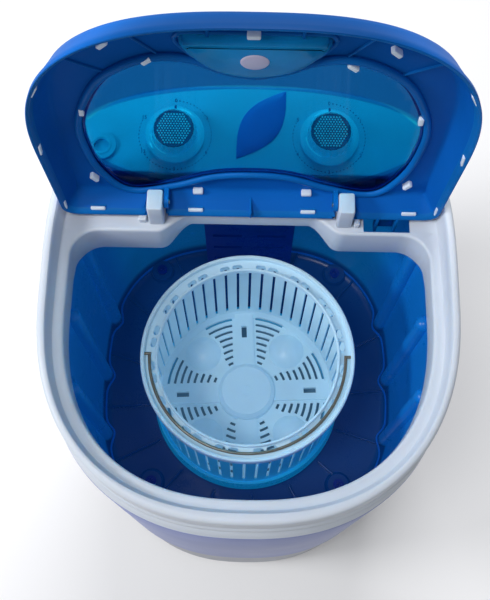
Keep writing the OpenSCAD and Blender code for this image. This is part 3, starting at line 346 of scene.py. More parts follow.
class Look(Enum):
    """The finishes of the machine, by the piece that shows them."""

    # Finishes with an emission share carry a painted glow: tub, tub edge, column, knobs, knob dots, basket, collar,
    # pulsator, lid, clips and badge.
    RIM = Finish("rim_white", linear(206, 214, 226), 0.38, 0.03, 0.06, 9, 1400, 0.00002, glow=0.1, shine=0.35)
    SHELL = Finish("shell_lavender", linear(140, 152, 206), 0.34, 0.05, 0.08, 8, 1200, 0.00002, shine=0.12)
    BASE = Finish("base_grey", linear(174, 177, 190), 0.42, 0.05, 0.1, 10, 1500, 0.00003, scuff=0.1)
    # Seam band: its blue is a painted edge highlight.
    BAND_HIGHLIGHT = Finish("band_blue", linear(110, 140, 206), 0.35, 0.05)
    # Tub: painted light keeps the rear wall brighter than the sides and front, and painted shade darkens all below
    # about 236 mm, the floor and its bosses.
    TUB = Finish("tub_blue", linear(10, 122, 186), 0.3, 0.1, 0.1, 10, 800, 0.00003, coat=0.05, shine=0.3, painted_glow=0.2,
                 shades=(Shade(linear(9, 102, 182), (0, 0.17, 0.35), (0.2, 0.09, 0.3), 0.8, 1.2),
                         Shade(linear(6, 58, 118), (0, 0, 0.454), (9, 9, 0.24), 0.91, 0.965)))
    TUB_EDGE = Finish("tub_edge_blue", linear(6, 92, 190), 0.3, 0.1, 0.1, 10, 800, 0.00003, shine=0.4, painted_glow=0.16)
    NAVY = Finish("column_navy", linear(0, 44, 128), 0.3, 0.12, 0.1, shine=0.3, painted_glow=0.14)
    PANEL = Finish("panel_blue", linear(132, 206, 238), 0.3, 0.05, 0.06, 12, 1000, 0.00002, shine=0.35)
    LEAF = Finish("leaf_navy", linear(34, 124, 214), 0.3, 0.06, shine=0.3)
    PRINT = Finish("dial_print", linear(20, 60, 140), 0.4, 0.04)
    # Bright dots on the dial caps and the painted highlight arcs at the dials' lower left.
    DOTS_AND_GLINTS = Finish("knob_dots_and_glints", linear(214, 246, 252), 0.3, 0.04, painted_glow=0.3)
    KNOB = Finish("knob_clear_blue", linear(126, 206, 234), 0.16, 0.06, 0.06, coat=0.4, painted_glow=0.34)
    KNOB_CAP = Finish("knob_cap", linear(60, 104, 150), 0.25, 0.1, 0.1, 60, 1400, 0.00004, coat=0.2)
    # Basket: the teal of its outer wall face is painted light, the blue of the tub reflected onto it in shade.
    BASKET = Finish("basket_blue", linear(190, 226, 244), 0.36, 0.05, 0.08, 14, 1100, 0.00003, glow=0.15, painted_glow=0.09,
                    shades=(Shade(linear(64, 198, 236), (0, -0.022, 0.35), (0.097, 0.097, 9), 0.984, 0.996),))
    COLLAR = Finish("collar_blue", linear(182, 216, 236), 0.34, 0.04, 0.07, 14, 1100, 0.00003, glow=0.1, painted_glow=0.09)
    # Pulsator: its main grey-blue is painted shade under the basket; beyond about 90 mm from the axis it has its own
    # cyan.
    PULSATOR = Finish("pulsator_cyan", linear(84, 124, 148), 0.28, 0.08, 0.08, shine=0.4, painted_glow=0.18,
                      shades=(Shade(linear(16, 176, 228), (0, -0.022, 0.22), (0.09, 0.09, 1.0), 0.97, 1.03),))
    # Lid: painted shade darkens the top of the opened lid, above about 740 mm.
    LID = Finish("lid_blue", linear(12, 96, 184), 0.42, 0.08, 0.08, 9, 700, 0.00002, shine=0.03, painted_glow=0.02,
                 shades=(Shade(linear(9, 66, 128), (0, 0.12, 0.53), (0.9, 0.9, 0.23), 0.9, 1.02),))
    LID_BEAD = Finish("lid_bead_blue", linear(8, 104, 186), 0.4, 0.08, 0.08, 20, 700, 0.00002, shine=0.1)
    LID_TEAL = Finish("lid_teal", linear(10, 104, 182), 0.4, 0.08, 0.08, 20, 700, 0.00002, shine=0.1)
    # Window: painted shade darkens its tint outside an oval fitted to the panel behind it, standing in for the shaded
    # ground seen through it.
    WINDOW = Finish("window_clear_blue", linear(20, 150, 184), 0.04, 0.05, 0.02, 6, 500, 0.00001, clear=1.0, ior=1.1,
                    shine=0.2, shades=(Shade(linear(12, 80, 138), (0, 0.1, 0.58), (0.142, 1.0, 0.08), 0.97, 1.0),))
    SCOOP = Finish("scoop_clear_blue", linear(20, 146, 210), 0.2, 0.1, 0.06, 30, 500, 0.00001, clear=0.25, ior=1.1,
                   coat=0.3)
    CLIP = Finish("clip_white", linear(214, 226, 240), 0.35, 0.05, painted_glow=0.08)
    BADGE = Finish("badge_lilac", linear(188, 184, 210), 0.35, 0.05, painted_glow=0.06)
    STEEL = Finish("bare_steel", linear(168, 170, 176), 0.28, 0.08, 0.12, 30, 900, 0.00002, metal=1.0,
                   stretch=(1, 1, 12))
    WIRE = Finish("bail_steel", linear(126, 118, 106), 0.34, 0.12, 0.12, 60, 1500, 0.00002, metal=0.6)
    ALLOY = Finish("cast_alloy", linear(176, 178, 182), 0.48, 0.08, 0.1, 40, 1200, 0.00006, metal=0.9)
    MOTOR = Finish("motor_paint", linear(58, 66, 84), 0.42, 0.1, 0.1, 30, 1000, 0.00004, coat=0.1)
    BLACK = Finish("black_moulding", linear(34, 34, 38), 0.45, 0.15, 0.1, 40, 1500, 0.00005)
    IVORY = Finish("ivory_moulding", linear(222, 218, 202), 0.4, 0.04)
    RUBBER = Finish("black_rubber", linear(30, 30, 33), 0.75, 0.2, 0.12, 60, 1600, 0.00008, scuff=0.2)
    HOUSE_WHITE = Finish("drain_white", linear(214, 218, 226), 0.4, 0.04)


# Outlines
def radial(points: Loop, centre: tuple[float, float] = (0.0, -20.0), steps: int = STEPS) -> Loop:
    """Samples a star-shaped outline again at even angles round a centre.

    Args:
        points: outline points in millimetres.
        centre: the point that all of it can be seen from.
        steps: number of points.

    Returns:
        The new outline, anticlockwise from straight left of the centre.
    """
    angle = np.arctan2(points[:, 1] - centre[1], points[:, 0] - centre[0])
    order = np.argsort(angle)
    angle, points = angle[order], points[order]
    angle = np.concatenate([angle[-1:] - 2 * np.pi, angle, angle[:1] + 2 * np.pi])
    points = np.concatenate([points[-1:], points, points[:1]])
    want = -np.pi + 2 * np.pi * np.arange(steps) / steps
    return np.stack([np.interp(want, angle, points[:, k]) for k in (0, 1)], axis=1)


def squircle(half: float, front: float, rear: float, front_power: float, rear_power: float) -> Loop:
    """An outline of two half superellipses, sampled at even angles.

    Args:
        half: half width.
        front: reach towards the front.
        rear: reach towards the rear.
        front_power: squareness of the front half.
        rear_power: squareness of the rear half.

    Returns:
        The outline.
    """
    turn = np.linspace(0, 2 * np.pi, 5760, endpoint=False)
    across, along = np.cos(turn), np.sin(turn)
    power = np.where(along < 0, front_power, rear_power)
    depth = np.where(along < 0, front, rear)
    xs = half * np.sign(across) * np.abs(across) ** (2 / power)
    ys = depth * np.sign(along) * np.abs(along) ** (2 / power)
    return radial(np.stack([xs, ys], axis=1))


def rounded_box(width: float, depth: float, corner: float, steps: int = 6) -> Loop:
    """A rectangle round the origin with round corners, anticlockwise.

    Args:
        width: size along x.
        depth: size along y.
        corner: radius of its corners.
        steps: number of steps in each corner.

    Returns:
        The outline.
    """
    corner = min(corner, width / 2 - 0.01, depth / 2 - 0.01)
    points = []
    for k, (sx, sy) in enumerate(((1, -1), (1, 1), (-1, 1), (-1, -1))):
        for i in range(steps + 1):
            turn = math.radians(-90 + 90 * k + 90 * i / steps)
            points.append((sx * (width / 2 - corner) + corner * math.cos(turn),
                           sy * (depth / 2 - corner) + corner * math.sin(turn)))
    return np.array(points)


def grown(points: Loop, amount: float) -> Loop:
    """Moves an anticlockwise outline outwards along its normals.

    Args:
        points: the outline.
        amount: distance outwards.

    Returns:
        The moved outline.
    """
    after, before = np.roll(points, -1, 0), np.roll(points, 1, 0)
    run = after - before
    run /= np.maximum(np.linalg.norm(run, axis=1, keepdims=True), 1e-9)
    return points + amount * np.stack([run[:, 1], -run[:, 0]], axis=1)


def lifted(points: Loop, height: Union[float, Callable[[np.ndarray], np.ndarray]]) -> np.ndarray:
    """Gives a flat outline its height, one number or a function of its y."""
    high = height(points[:, 1]) if callable(height) else np.full(len(points), float(height))
    return np.column_stack([points, high])


def inside(points: np.ndarray, outline: Loop) -> np.ndarray:
    """Tells which points lie in a closed outline.

    Args:
        points: n by 2.
        outline: the closed outline.

    Returns:
        One truth value for each point.
    """
    x, y = points[:, 0:1], points[:, 1:2]
    x1, y1 = outline[:, 0], outline[:, 1]
    x2, y2 = np.roll(x1, -1), np.roll(y1, -1)
    crosses = (y1 > y) != (y2 > y)
    rise = np.where(np.abs(y2 - y1) < 1e-12, 1e-12, y2 - y1)
    return (np.sum(crosses & (x < (x2 - x1) * (y - y1) / rise + x1), axis=1) % 2) == 1


def turned(angle: float, about: tuple[float, float, float], axis: str = "X") -> np.ndarray:
    """A 4 by 4 turn in degrees about a point in millimetres."""
    move = Matrix.Translation(about)
    return np.array(move @ Matrix.Rotation(math.radians(angle), 4, axis) @ move.inverted())


def moved(x: float, y: float, z: float, turn: float = 0.0) -> np.ndarray:
    """A 4 by 4 move in millimetres, after a turn in degrees about z."""
    return np.array(Matrix.Translation((x, y, z)) @ Matrix.Rotation(math.radians(turn), 4, "Z"))


# Mesh making
class Maker:
    """Collects the skins of one piece in millimetres and turns them into one object."""

    def __init__(self, place: np.ndarray | None = None) -> None:
        """Starts an empty piece, whose points are all moved by place.

        Args:
            place: a 4 by 4 move, or none.
        """
        self.place = np.eye(4) if place is None else place
        self.points: list[np.ndarray] = []
        self.faces: list[tuple[int, ...]] = []
        self.slots: list[int] = []
        self.count = 0

    def add(self, points: np.ndarray, faces: Iterable[Sequence[int]], slot: int = 0,
            local: np.ndarray | None = None) -> None:
        """Adds points and faces.

        Args:
            points: n by 3, in millimetres.
            faces: indices into points.
            slot: material slot.
            local: a move before the piece's own.
        """
        whole = self.place if local is None else self.place @ local
        points = points @ whole[:3, :3].T + whole[:3, 3]
        for face in faces:
            self.faces.append(tuple(int(i) + self.count for i in face))
            self.slots.append(slot)
        self.points.append(points)
        self.count += len(points)

    def loft(self, rings: Sequence[np.ndarray], slot: int = 0, first: bool = False, last: bool = False,
             closed: bool = True, local: np.ndarray | None = None) -> None:
        """Skins a row of rings with the same number of points.

        Args:
            rings: the rings, n by 3 each.
            slot: material slot.
            first: closes the first ring.
            last: closes the last ring.
            closed: whether each ring closes on itself.
            local: a move before the piece's own.
        """
        size = len(rings[0])
        faces: list[Sequence[int]] = []
        for row in range(len(rings) - 1):
            for i in range(size if closed else size - 1):
                j = (i + 1) % size
                faces.append((row * size + i, row * size + j, (row + 1) * size + j, (row + 1) * size + i))
        if first:
            faces.append(tuple(range(size - 1, -1, -1)))
        if last:
            faces.append(tuple((len(rings) - 1) * size + i for i in range(size)))
        self.add(np.concatenate(rings), faces, slot, local)

    def lathe(self, profile: Sequence[tuple[float, float]], slot: int = 0, steps: int = 96,
              local: np.ndarray | None = None, first: bool = False, last: bool = False) -> None:
        """Turns a profile of radius and height round z.

        Args:
            profile: radius and height of each point.
            slot: material slot.
            steps: number of steps round.
            local: a move before the piece's own.
            first: closes the first ring.
            last: closes the last ring.
        """
        turn = 2 * np.pi * np.arange(steps) / steps
        circle = np.stack([np.cos(turn), np.sin(turn)], axis=1)
        self.loft([lifted(circle * max(r, 0.01), z) for r, z in profile], slot, first, last, local=local)

    def slab(self, outline: Loop, low: float, high: float, edge: float, slot: int = 0,
             local: np.ndarray | None = None) -> None:
        """Extrudes an anticlockwise outline round its own centre, with round edges.

        Args:
            outline: its points.
            low: height of its underside.
            high: height of its top.
            edge: radius of its edges.
            slot: material slot.
            local: a move before the piece's own.
        """
        rings = []
        for inset, z in ((edge, low), (edge * 0.3, low + edge * 0.3), (0, low + edge), (0, high - edge),
                         (edge * 0.3, high - edge * 0.3), (edge, high)):
            rings.append(lifted(grown(outline, -inset), z))
        self.loft(rings, slot, True, True, local=local)

    def tube(self, path: np.ndarray, radius: float, slot: int = 0, steps: int = 12, closed: bool = False,
             flat: float = 1.0, local: np.ndarray | None = None) -> None:
        """Sweeps a round section along a path.

        Args:
            path: n by 3 points.
            radius: radius of the section.
            slot: material slot.
            steps: points round the section.
            closed: whether the path closes on itself.
            flat: factor on the section's height.
            local: a move before the piece's own.
        """
        ahead = np.roll(path, -1, 0) - np.roll(path, 1, 0)
        if not closed:
            ahead[0], ahead[-1] = path[1] - path[0], path[-1] - path[-2]
        ahead /= np.linalg.norm(ahead, axis=1, keepdims=True)
        up = np.array([0.0, 0.0, 1.0])
        if np.max(np.abs(ahead @ up)) > 0.95:
            up = np.array([0.0, 1.0, 0.0])
        side = np.cross(ahead, up)
        side /= np.linalg.norm(side, axis=1, keepdims=True)
        top = np.cross(side, ahead)
        rings = []
        for i in range(len(path)):
            turn = 2 * np.pi * np.arange(steps) / steps
            rings.append(path[i] + radius * (np.outer(np.cos(turn), side[i]) + flat * np.outer(np.sin(turn), top[i])))
        if closed:
            rings.append(rings[0])
        self.loft(rings, slot, not closed, not closed, local=local)

    def sheet(self, outer: Loop, holes: Sequence[Loop], height: Callable[[np.ndarray], np.ndarray], gap: float,
              slot: int = 0, down: bool = False) -> None:
        """Covers a flat region that has holes, and lifts it by a height function.

        Args:
            outer: outline of the region.
            holes: outlines of its holes.
            height: gives z for an array of y.
            gap: spacing of the points inside.
            slot: material slot.
            down: whether it faces down.
        """
        loops = [outer, *holes]
        xs = np.arange(outer[:, 0].min() + gap, outer[:, 0].max(), gap)
        ys = np.arange(outer[:, 1].min() + gap, outer[:, 1].max(), gap)
        grid = np.array([(x, y) for x in xs for y in ys])
        keep = inside(grid, outer)
        for hole in holes:
            keep &= ~inside(grid, hole)
        edges_of = np.concatenate(loops)
        near = np.array([np.min(np.sum((edges_of - p) ** 2, axis=1)) for p in grid]) > (0.4 * gap) ** 2
        grid = grid[keep & near]
        points, edges = [], []
        for loop in loops:
            start = len(points)
            points += [tuple(p) for p in loop]
            edges += [(start + i, start + (i + 1) % len(loop)) for i in range(len(loop))]
        points += [tuple(p) for p in grid]
        made, _, faces, *_ = delaunay_2d_cdt([Vector(p) for p in points], edges, [], 0, 1e-5)
        flat = np.array([tuple(v) for v in made])
        faces = np.array([tuple(f) for f in faces])
        middle = flat[faces].mean(axis=1)
        keep = inside(middle, outer)
        for hole in holes:
            keep &= ~inside(middle, hole)
        faces = faces[keep]
        a, b, c = flat[faces[:, 0]], flat[faces[:, 1]], flat[faces[:, 2]]
        area = (b[:, 0] - a[:, 0]) * (c[:, 1] - a[:, 1]) - (b[:, 1] - a[:, 1]) * (c[:, 0] - a[:, 0])
        wrong = (area < 0) != down
        faces[wrong] = faces[wrong][:, ::-1]
        self.add(np.column_stack([flat, height(flat[:, 1])]), faces, slot)

    def build(self, name: str, looks: Sequence[Look], body: str, slot: str, replaces: Sequence[str] = (),
              sharp: float = 35.0, merge: float = 0.02) -> bpy.types.Object:
        """Args:
            name: name of the piece.
            looks: its finishes, by material slot.
            body: the body that it rides on.
            slot: the record's material slot; not used.
            replaces: CAD nodes that it stands for.
            sharp: angle in degrees over which an edge shows sharp.
            merge: distance in millimetres under which points join.

        Returns:
            The object.
        """
        mesh = bpy.data.meshes.new(name)
        mesh.from_pydata((np.concatenate(self.points) * MM).tolist(), [], self.faces)
        mesh.polygons.foreach_set("material_index", self.slots)
        for look in looks:
            mesh.materials.append(look.value.material())
        work = bmesh.new()
        work.from_mesh(mesh)
        bmesh.ops.remove_doubles(work, verts=work.verts, dist=merge * MM)
        bmesh.ops.recalc_face_normals(work, faces=work.faces)
        work.to_mesh(mesh)
        work.free()
        mesh.polygons.foreach_set("use_smooth", [True] * len(mesh.polygons))
        mesh.set_sharp_from_angle(angle=math.radians(sharp))
        piece = bpy.data.objects.new(name, mesh)
        bpy.context.scene.collection.objects.link(piece)
        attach(piece, body)
        if replaces:
            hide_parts(*replaces)
        log.info("%s: %d faces on %s", name, len(mesh.polygons), body)
        return piece


# Stage
@dataclass
class Studio:
    """Camera, lamps, world and floor.

    Args:
        focal: focal length in pixels of a frame 600 high.
        pitch: angle of the view below the horizon, in degrees.
        roll: turn of the frame, in degrees.
        eye: place of the camera in millimetres.
        world: strength of the world's light.
        sky: colour of the world.
        tones: the floor's two greys for indirect light, and its colour as it is seen.
        glow: emission of the floor near the object and far from it.
        glow_reach: distances in metres between which the emission grows.
        floor_r: radius of the floor in metres.
    """

    focal: float = 856.0
    pitch: float = 70.4
    roll: float = 1.1
    eye: tuple[float, float, float] = (-3.5, -246.0, 1187.5)
    world: float = 0.28
    sky: Colour = (0.96, 0.98, 1.0)
    tones: tuple[Colour, Colour, Colour] = ((0.5, 0.5, 0.52), (0.55, 0.55, 0.57), (0.82, 0.82, 0.83))
    glow: tuple[float, float] = (0.08, 0.9)
    glow_reach: tuple[float, float] = (0.9, 2.4)
    floor_r: float = 6.0

    def camera(self) -> None:
        """Sets the camera at the photograph's place and angle."""
        lens = bpy.data.cameras.new("view")
        lens.sensor_width = 36.0
        lens.lens = self.focal * 36.0 / 600.0
        lens.clip_start = 0.01
        lens.clip_end = 50.0
        seat = bpy.data.objects.new("view", lens)
        pitch, roll = math.radians(self.pitch), math.radians(self.roll)
        ahead = Vector((0, math.cos(pitch), -math.sin(pitch)))
        up = Vector((0, math.sin(pitch), math.cos(pitch)))
        right = Vector((1, 0, 0))
        side = right * math.cos(roll) + up * math.sin(roll)
        top = up * math.cos(roll) - right * math.sin(roll)
        turn = Matrix((side, top, -ahead)).transposed().to_4x4()
        seat.matrix_world = Matrix.Translation(Vector(self.eye) * MM) @ turn
        bpy.context.scene.collection.objects.link(seat)
        bpy.context.scene.camera = seat

    def lamp(self, name: str, place: Sequence[float], aim: Sequence[float], size: float, power: float) -> None:
        """Adds one soft area lamp.

        Args:
            name: its name.
            place: where it hangs, in metres.
            aim: the point it faces.
            size: its width in metres.
            power: its power in watts.
        """
        data = bpy.data.lights.new(name, "AREA")
        data.shape = "DISK"
        data.size = size
        data.energy = power
        lamp = bpy.data.objects.new(name, data)
        lamp.location = place
        lamp.rotation_euler = (Vector(aim) - Vector(place)).to_track_quat("-Z", "Y").to_euler()
        bpy.context.scene.collection.objects.link(lamp)

    def lights(self) -> None:
        """Hangs a low key at the left, a fill high over the front left and a lamp behind the lid."""
        self.lamp("key", (-1.4, -0.25, 1.45), (0.05, 0, 0.4), 0.5, 16.5)
        self.lamp("fill", (-0.5, -0.45, 2.3), (0, 0, 0.35), 0.45, 12.5)
        self.lamp("rear", (0.1, 1.25, 1.5), (0, 0.15, 0.5), 0.8, 19.0)

    def surroundings(self) -> None:
        """Gives the world its pale light, near white to the camera, also through clear parts."""
        world = bpy.data.worlds.new("surroundings")
        world.use_nodes = True
        bpy.context.scene.world = world
        net = Net(world.node_tree)
        rays = [net.node("ShaderNodeLightPath", {}, {}, name) for name in ("Is Camera Ray", "Is Transmission Ray")]
        seen = (rays[0] + rays[1]).clamped()
        strength = seen * (1.0 - self.world) + self.world
        sky = net.node("ShaderNodeBackground", {}, {"Color": rgba(self.sky), "Strength": strength})
        net.node("ShaderNodeOutputWorld", {}, {"Surface": sky})

    def floor(self) -> None:
        """Lays the pale floor, a wide disc that is white to the camera and keeps the shadow."""
        made = bpy.data.materials.new("studio_floor")
        made.use_nodes = True
        net = Net(made.node_tree)
        rays = [net.node("ShaderNodeLightPath", {}, {}, name)
                for name in ("Is Camera Ray", "Is Glossy Ray", "Is Transmission Ray")]
        seen = (rays[0] + rays[1] + rays[2]).clamped()
        speckle = net.noise(3.0, 3.0) * 0.02 + 0.98
        dim, bright, shown = (rgba(colour) for colour in self.tones)
        tone = net.mix(seen, net.mix(speckle, dim, bright), shown)
        far = net.oval((0, 0, 0), (1, 1, 1)).eased(*self.glow_reach)
        weak, strong = (rgba((level, level, level)) for level in self.glow)
        glow = net.mix(seen, rgba((0.0, 0.0, 0.0)), net.mix(far, weak, strong))
        inputs = {"Base Color": tone, "Roughness": 0.9, "Specular IOR Level": 0.0, "Emission Color": glow,
                  "Emission Strength": 1.0}
        shader = net.node("ShaderNodeBsdfPrincipled", {}, inputs, "BSDF")
        net.node("ShaderNodeOutputMaterial", {}, {"Surface": shader})
        mesh = bpy.data.meshes.new("floor")
        work = bmesh.new()
        bmesh.ops.create_circle(work, cap_ends=True, segments=96, radius=self.floor_r)
        work.to_mesh(mesh)
        work.free()
        mesh.materials.append(made)
        ground = bpy.data.objects.new("floor", mesh)
        bpy.context.scene.collection.objects.link(ground)

    def build(self) -> None:
        """Sets the whole stage."""
        scene = bpy.context.scene
        scene.view_settings.view_transform = "Standard"
        self.camera()
        self.lights()
        self.surroundings()
        self.floor()


# Body
@dataclass
class Body:
    """The outer shell and the seam band.

    Args:
        half: half width of the outline.
        reach: half depth of the outline.
        powers: squareness of its front and rear.
        top: height of the shell's top edge.
        seam: heights of the seam band.
    """

    half: float = 181.5
    reach: float = 195.0
    powers: tuple[float, float] = (2.35, 3.6)
    top: float = 450.0
    seam: tuple[float, float] = (153.0, 156.0)

    def outline(self, side: float, front: float | None = None, rear: float | None = None,
                square: float | None = None) -> Loop:
        """The outline moved in by a side, front and rear inset, with its own squareness of the front.

        Args:
            side: inset of the sides.
            front: inset of the front, the sides' where none is given.
            rear: inset of the rear, the sides' where none is given.
            square: squareness of the front, the body's where none is given.

        Returns:
            The outline.
        """
        front = side if front is None else front
        rear = side if rear is None else rear
        power = self.powers[0] if square is None else square
        return squircle(self.half - side, self.reach - front, self.reach - rear, power, self.powers[1])

    def shell(self) -> None:
        """The frosted outer shell, with rolled edges and an inner face."""
        maker = Maker()
        low, high = self.seam[1] + 0.3, self.top - 0.3
        rows = [(3.6, low + 1), (1.4, low), (0.4, low + 0.5), (0.0, low + 1.6), (0.0, high - 1.6),
                (0.4, high - 0.4), (1.2, high), (3.4, high - 0.6), (4.0, high - 2), (4.0, low + 2)]
        maker.loft([lifted(self.outline(inset), z) for inset, z in rows])
        maker.build("shell_skin", [Look.SHELL], "housing", "shell_lavender", ["outer_shell"])

    def band(self) -> None:
        """The seam band between shell and base; its blue is a painted edge highlight."""
        maker = Maker()
        low, high = self.seam
        rows = [(5.0, low - 0.2), (2.2, low), (1.2, low + 0.6), (1.0, low + 1.5), (1.2, high - 0.4),
                (2.2, high + 0.1), (5.0, high + 0.2)]
        maker.loft([lifted(self.outline(inset), z) for inset, z in rows])
        maker.build("seam_trim", [Look.BAND_HIGHLIGHT], "housing", "band_blue", ["seam_band"])

    def build(self) -> None:
        """Builds all of it."""
        self.shell()
        self.band()


@dataclass
class TopFrame:
    """The white moulding round the mouth, with its lip, shelf, collar wall and console housing.

    Args:
        body: the body that gives its outline.
        lip: height of the lip's plane at the front.
        slope: rise of the lip's plane to the rear, in degrees.
        shelf: height of the shelf.
        collar: height of the collar wall's lower edge.
        mouth: half width, front reach, squareness, rear edge and corner radius of the mouth.
        bay: width, blend and depth of the bay in the rear edge.
        console: half width, rear reach, squareness and front edge of the console.
        panel: height of the panel at its front edge, and its tilt in degrees.
        post: distance from the middle, width, front, rear and top of the hinge posts.
        slot: x range and y range of the deck slot.
        slot_depth: depth of the slot's walls.
        tongue_gap: x range and z range of the tongue's opening in the console's front wall.
        hang: how far the collar wall hangs lower at the rear's sides, and how far it rises in the bay.
        hang_from: x and y where that begins.
        hang_over: x and y distances over which it grows.
        nubs: x, y, width, depth and height of the small blocks beside the hinge posts.
    """

    body: Body = field(default_factory=Body)
    lip: float = 490.0
    slope: float = 3.4
    shelf: float = 483.0
    collar: float = 454.0
    mouth: tuple[float, float, float, float, float] = (160.5, 166.0, 2.45, 69.0, 25.0)
    bay: tuple[float, float, float] = (140.0, 28.0, 15.0)
    console: tuple[float, float, float, float] = (177.0, 191.0, 3.6, 111.0)
    panel: tuple[float, float] = (518.0, 10.0)
    post: tuple[float, float, float, float, float] = (84.0, 14.0, 75.4, 95.4, 514.0)
    slot: tuple[float, float, float, float] = (102.0, 144.0, 72.0, 110.8)
    slot_depth: float = 3.0
    tongue_gap: tuple[float, float, float, float] = (110.0, 136.0, 484.0, 513.0)
    hang: tuple[float, float] = (11.0, 12.0)
    hang_from: tuple[float, float] = (54.0, 30.0)
    hang_over: tuple[float, float] = (22.0, 30.0)
    nubs: tuple[tuple[float, float, float, float, float], ...] = (
        (95.5, 80.0, 5.0, 9.0, 7.0), (-97.0, 82.0, 7.0, 10.0, 6.0))

    def lip_height(self, drop: float) -> Callable[[np.ndarray], np.ndarray]:
        """Height of the lip's plane lowered by drop, as a function of y."""
        return lambda y: self.lip - drop + math.tan(math.radians(self.slope)) * (y + self.body.reach)

    def mouth_outline(self, grow: float) -> Loop:
        """The mouth's outline moved out by grow.

        Args:
            grow: distance outwards.

        Returns:
            The outline.
        """
        half, front, power, rear, corner = self.mouth
        width, blend, depth = self.bay
        steps = np.linspace(0, 1, 60)
        points = [((width - blend) / 2 + 0.4 * grow + blend * t,
                   rear + grow + depth * (1 + math.cos(math.pi * t)) / 2) for t in steps]
        points += [(half - corner + (corner + grow) * math.cos(a), rear - corner + (corner + grow) * math.sin(a))
                   for a in np.linspace(math.pi / 2, 0, 40)]
        for a in np.linspace(0, math.pi / 2, 400):
            points.append(((half + grow) * math.cos(a) ** (2 / power) if a < math.pi / 2 - 1e-9 else 0.0,
                           -(front + grow) * math.sin(a) ** (2 / power)))
        right = np.array(points)
        return radial(np.concatenate([right, right * np.array([-1, 1])]))

    def rings(self) -> list[np.ndarray]:
        """The rings of the skin, from the shell's edge over the lip and shelf down the collar wall.

        Returns:
            The rings in order, n by 3 each.
        """
        out = self.body.outline
        shelf = self.shelf
        rows = [(out(3, 3, 3), 449.0), (out(0.8, 0.8, 0.8), 450.2), (out(0.4, 0.5, 0.4), 451.2),
                (out(0.6, 1.4, 0.6), 453.5), (out(1.6, 4.6, 1.8), 459.5), (out(2.4, 6.0, 2.6), 460.8),
                (out(1.0, 5.4, 1.0), 462.0), (out(0.2, 4.9, 0.2), 464.0), (out(0.0, 4.8, 0.0), 466.0),
                (out(0.3, 5.1, 0.3), 468.2), (out(1.2, 5.9, 1.2), 469.8), (out(2.0, 6.8, 2.2), 470.8),
                (out(1.4, 7.2, 1.8), 472.5), (out(0.9, 7.9, 1.5), self.lip_height(6)),
                (out(1.2, 8.1, 1.8), self.lip_height(3)), (out(2.2, 8.8, 2.6), self.lip_height(1.1)),
                (out(3.6, 10.0, 3.9), self.lip_height(0.2)), (out(5.0, 12.0, 5.2), self.lip_height(0)),
                (out(6.8, 15.8, 7.0, 2.42), self.lip_height(0)), (out(8.0, 17.2, 8.2, 2.44), self.lip_height(0.5)),
                (out(8.9, 18.2, 9.1, 2.45), self.lip_height(2.0)), (out(9.6, 18.8, 9.8, 2.45), self.lip_height(4.6)),
                (out(11.0, 19.6, 11.2, 2.45), shelf + 2.4), (out(11.8, 20.4, 12.0, 2.45), shelf + 0.8),
                (out(13.4, 22.0, 13.6, 2.45), shelf), (self.mouth_outline(4.4), shelf),
                (self.mouth_outline(2.4), shelf),
                (self.mouth_outline(1.1), shelf - 0.4), (self.mouth_outline(0.3), shelf - 1.3),
                (self.mouth_outline(0), shelf - 2.8), (self.mouth_outline(0), self.collar + 2),
                (self.mouth_outline(0.5), self.collar + 0.4), (self.mouth_outline(1.5), self.collar),
                (self.mouth_outline(2.8), self.collar + 0.8), (self.mouth_outline(3), self.collar + 3),
                (self.mouth_outline(3), shelf - 4)]
        rings = [lifted(loop, z) for loop, z in rows]
        for ring in rings[-7:-1]:
            ring[:, 2] -= self.rear_drop(ring)
        return rings

    def rear_drop(self, ring: np.ndarray) -> np.ndarray:
        """How far the collar wall's lower edge drops at the rear: down at the sides, up in the bay.

        Args:
            ring: points of the ring, n by 3.

        Returns:
            The drop of each point.
        """
        side, rear = (np.clip((away - start) / run, 0, 1) for away, start, run in
                      zip((np.abs(ring[:, 0]), ring[:, 1]), self.hang_from, self.hang_over))
        low = ring[:, 2] < self.shelf - 8
        return np.where(low, rear * (self.hang[0] * side - self.hang[1] * (1 - side)), 0.0)

    @staticmethod
    def scored(piece: bpy.types.Object, planes: Sequence[tuple[int, float]]) -> bmesh.types.BMesh:
        """Opens a piece's mesh and cuts its faces along planes square to the axes.

        Args:
            piece: the piece.
            planes: axis of each plane, 0 to 2, and its place in metres.

        Returns:
            The open mesh, which the caller writes back and frees.
        """
        work = bmesh.new()
        work.from_mesh(piece.data)
        for axis, place in planes:
            way = Vector([float(k == axis) for k in range(3)])
            bmesh.ops.bisect_plane(work, geom=[*work.verts, *work.edges, *work.faces], dist=1e-7,
                                   plane_co=way * place, plane_no=way)
        return work

    def cut_slot(self, piece: bpy.types.Object) -> None:
        """Opens the tongue's slot in the deck and gives it walls.

        Args:
            piece: the top frame's skin.
        """
        x0, x1, y0, y1 = (value * MM for value in self.slot)
        work = self.scored(piece, ((0, x0), (0, x1), (1, y0), (1, y1)))
        flat = self.shelf * MM
        middles = [(f, f.calc_center_median()) for f in work.faces]
        hole = [f for f, c in middles if x0 < c.x < x1 and y0 < c.y < y1 and abs(c.z - flat) < 1e-5]
        bmesh.ops.delete(work, geom=hole, context="FACES")
        rim = [e for e in work.edges if e.is_boundary and abs(e.verts[0].co.z - flat) < 1e-5
               and abs(e.verts[1].co.z - flat) < 1e-5]
        wall = bmesh.ops.extrude_edge_only(work, edges=rim)
        for v in (g for g in wall["geom"] if isinstance(g, bmesh.types.BMVert)):
            v.co.z -= self.slot_depth * MM
        bmesh.ops.recalc_face_normals(work, faces=work.faces)
        work.to_mesh(piece.data)
        work.free()
        piece.data.set_sharp_from_angle(angle=math.radians(35))

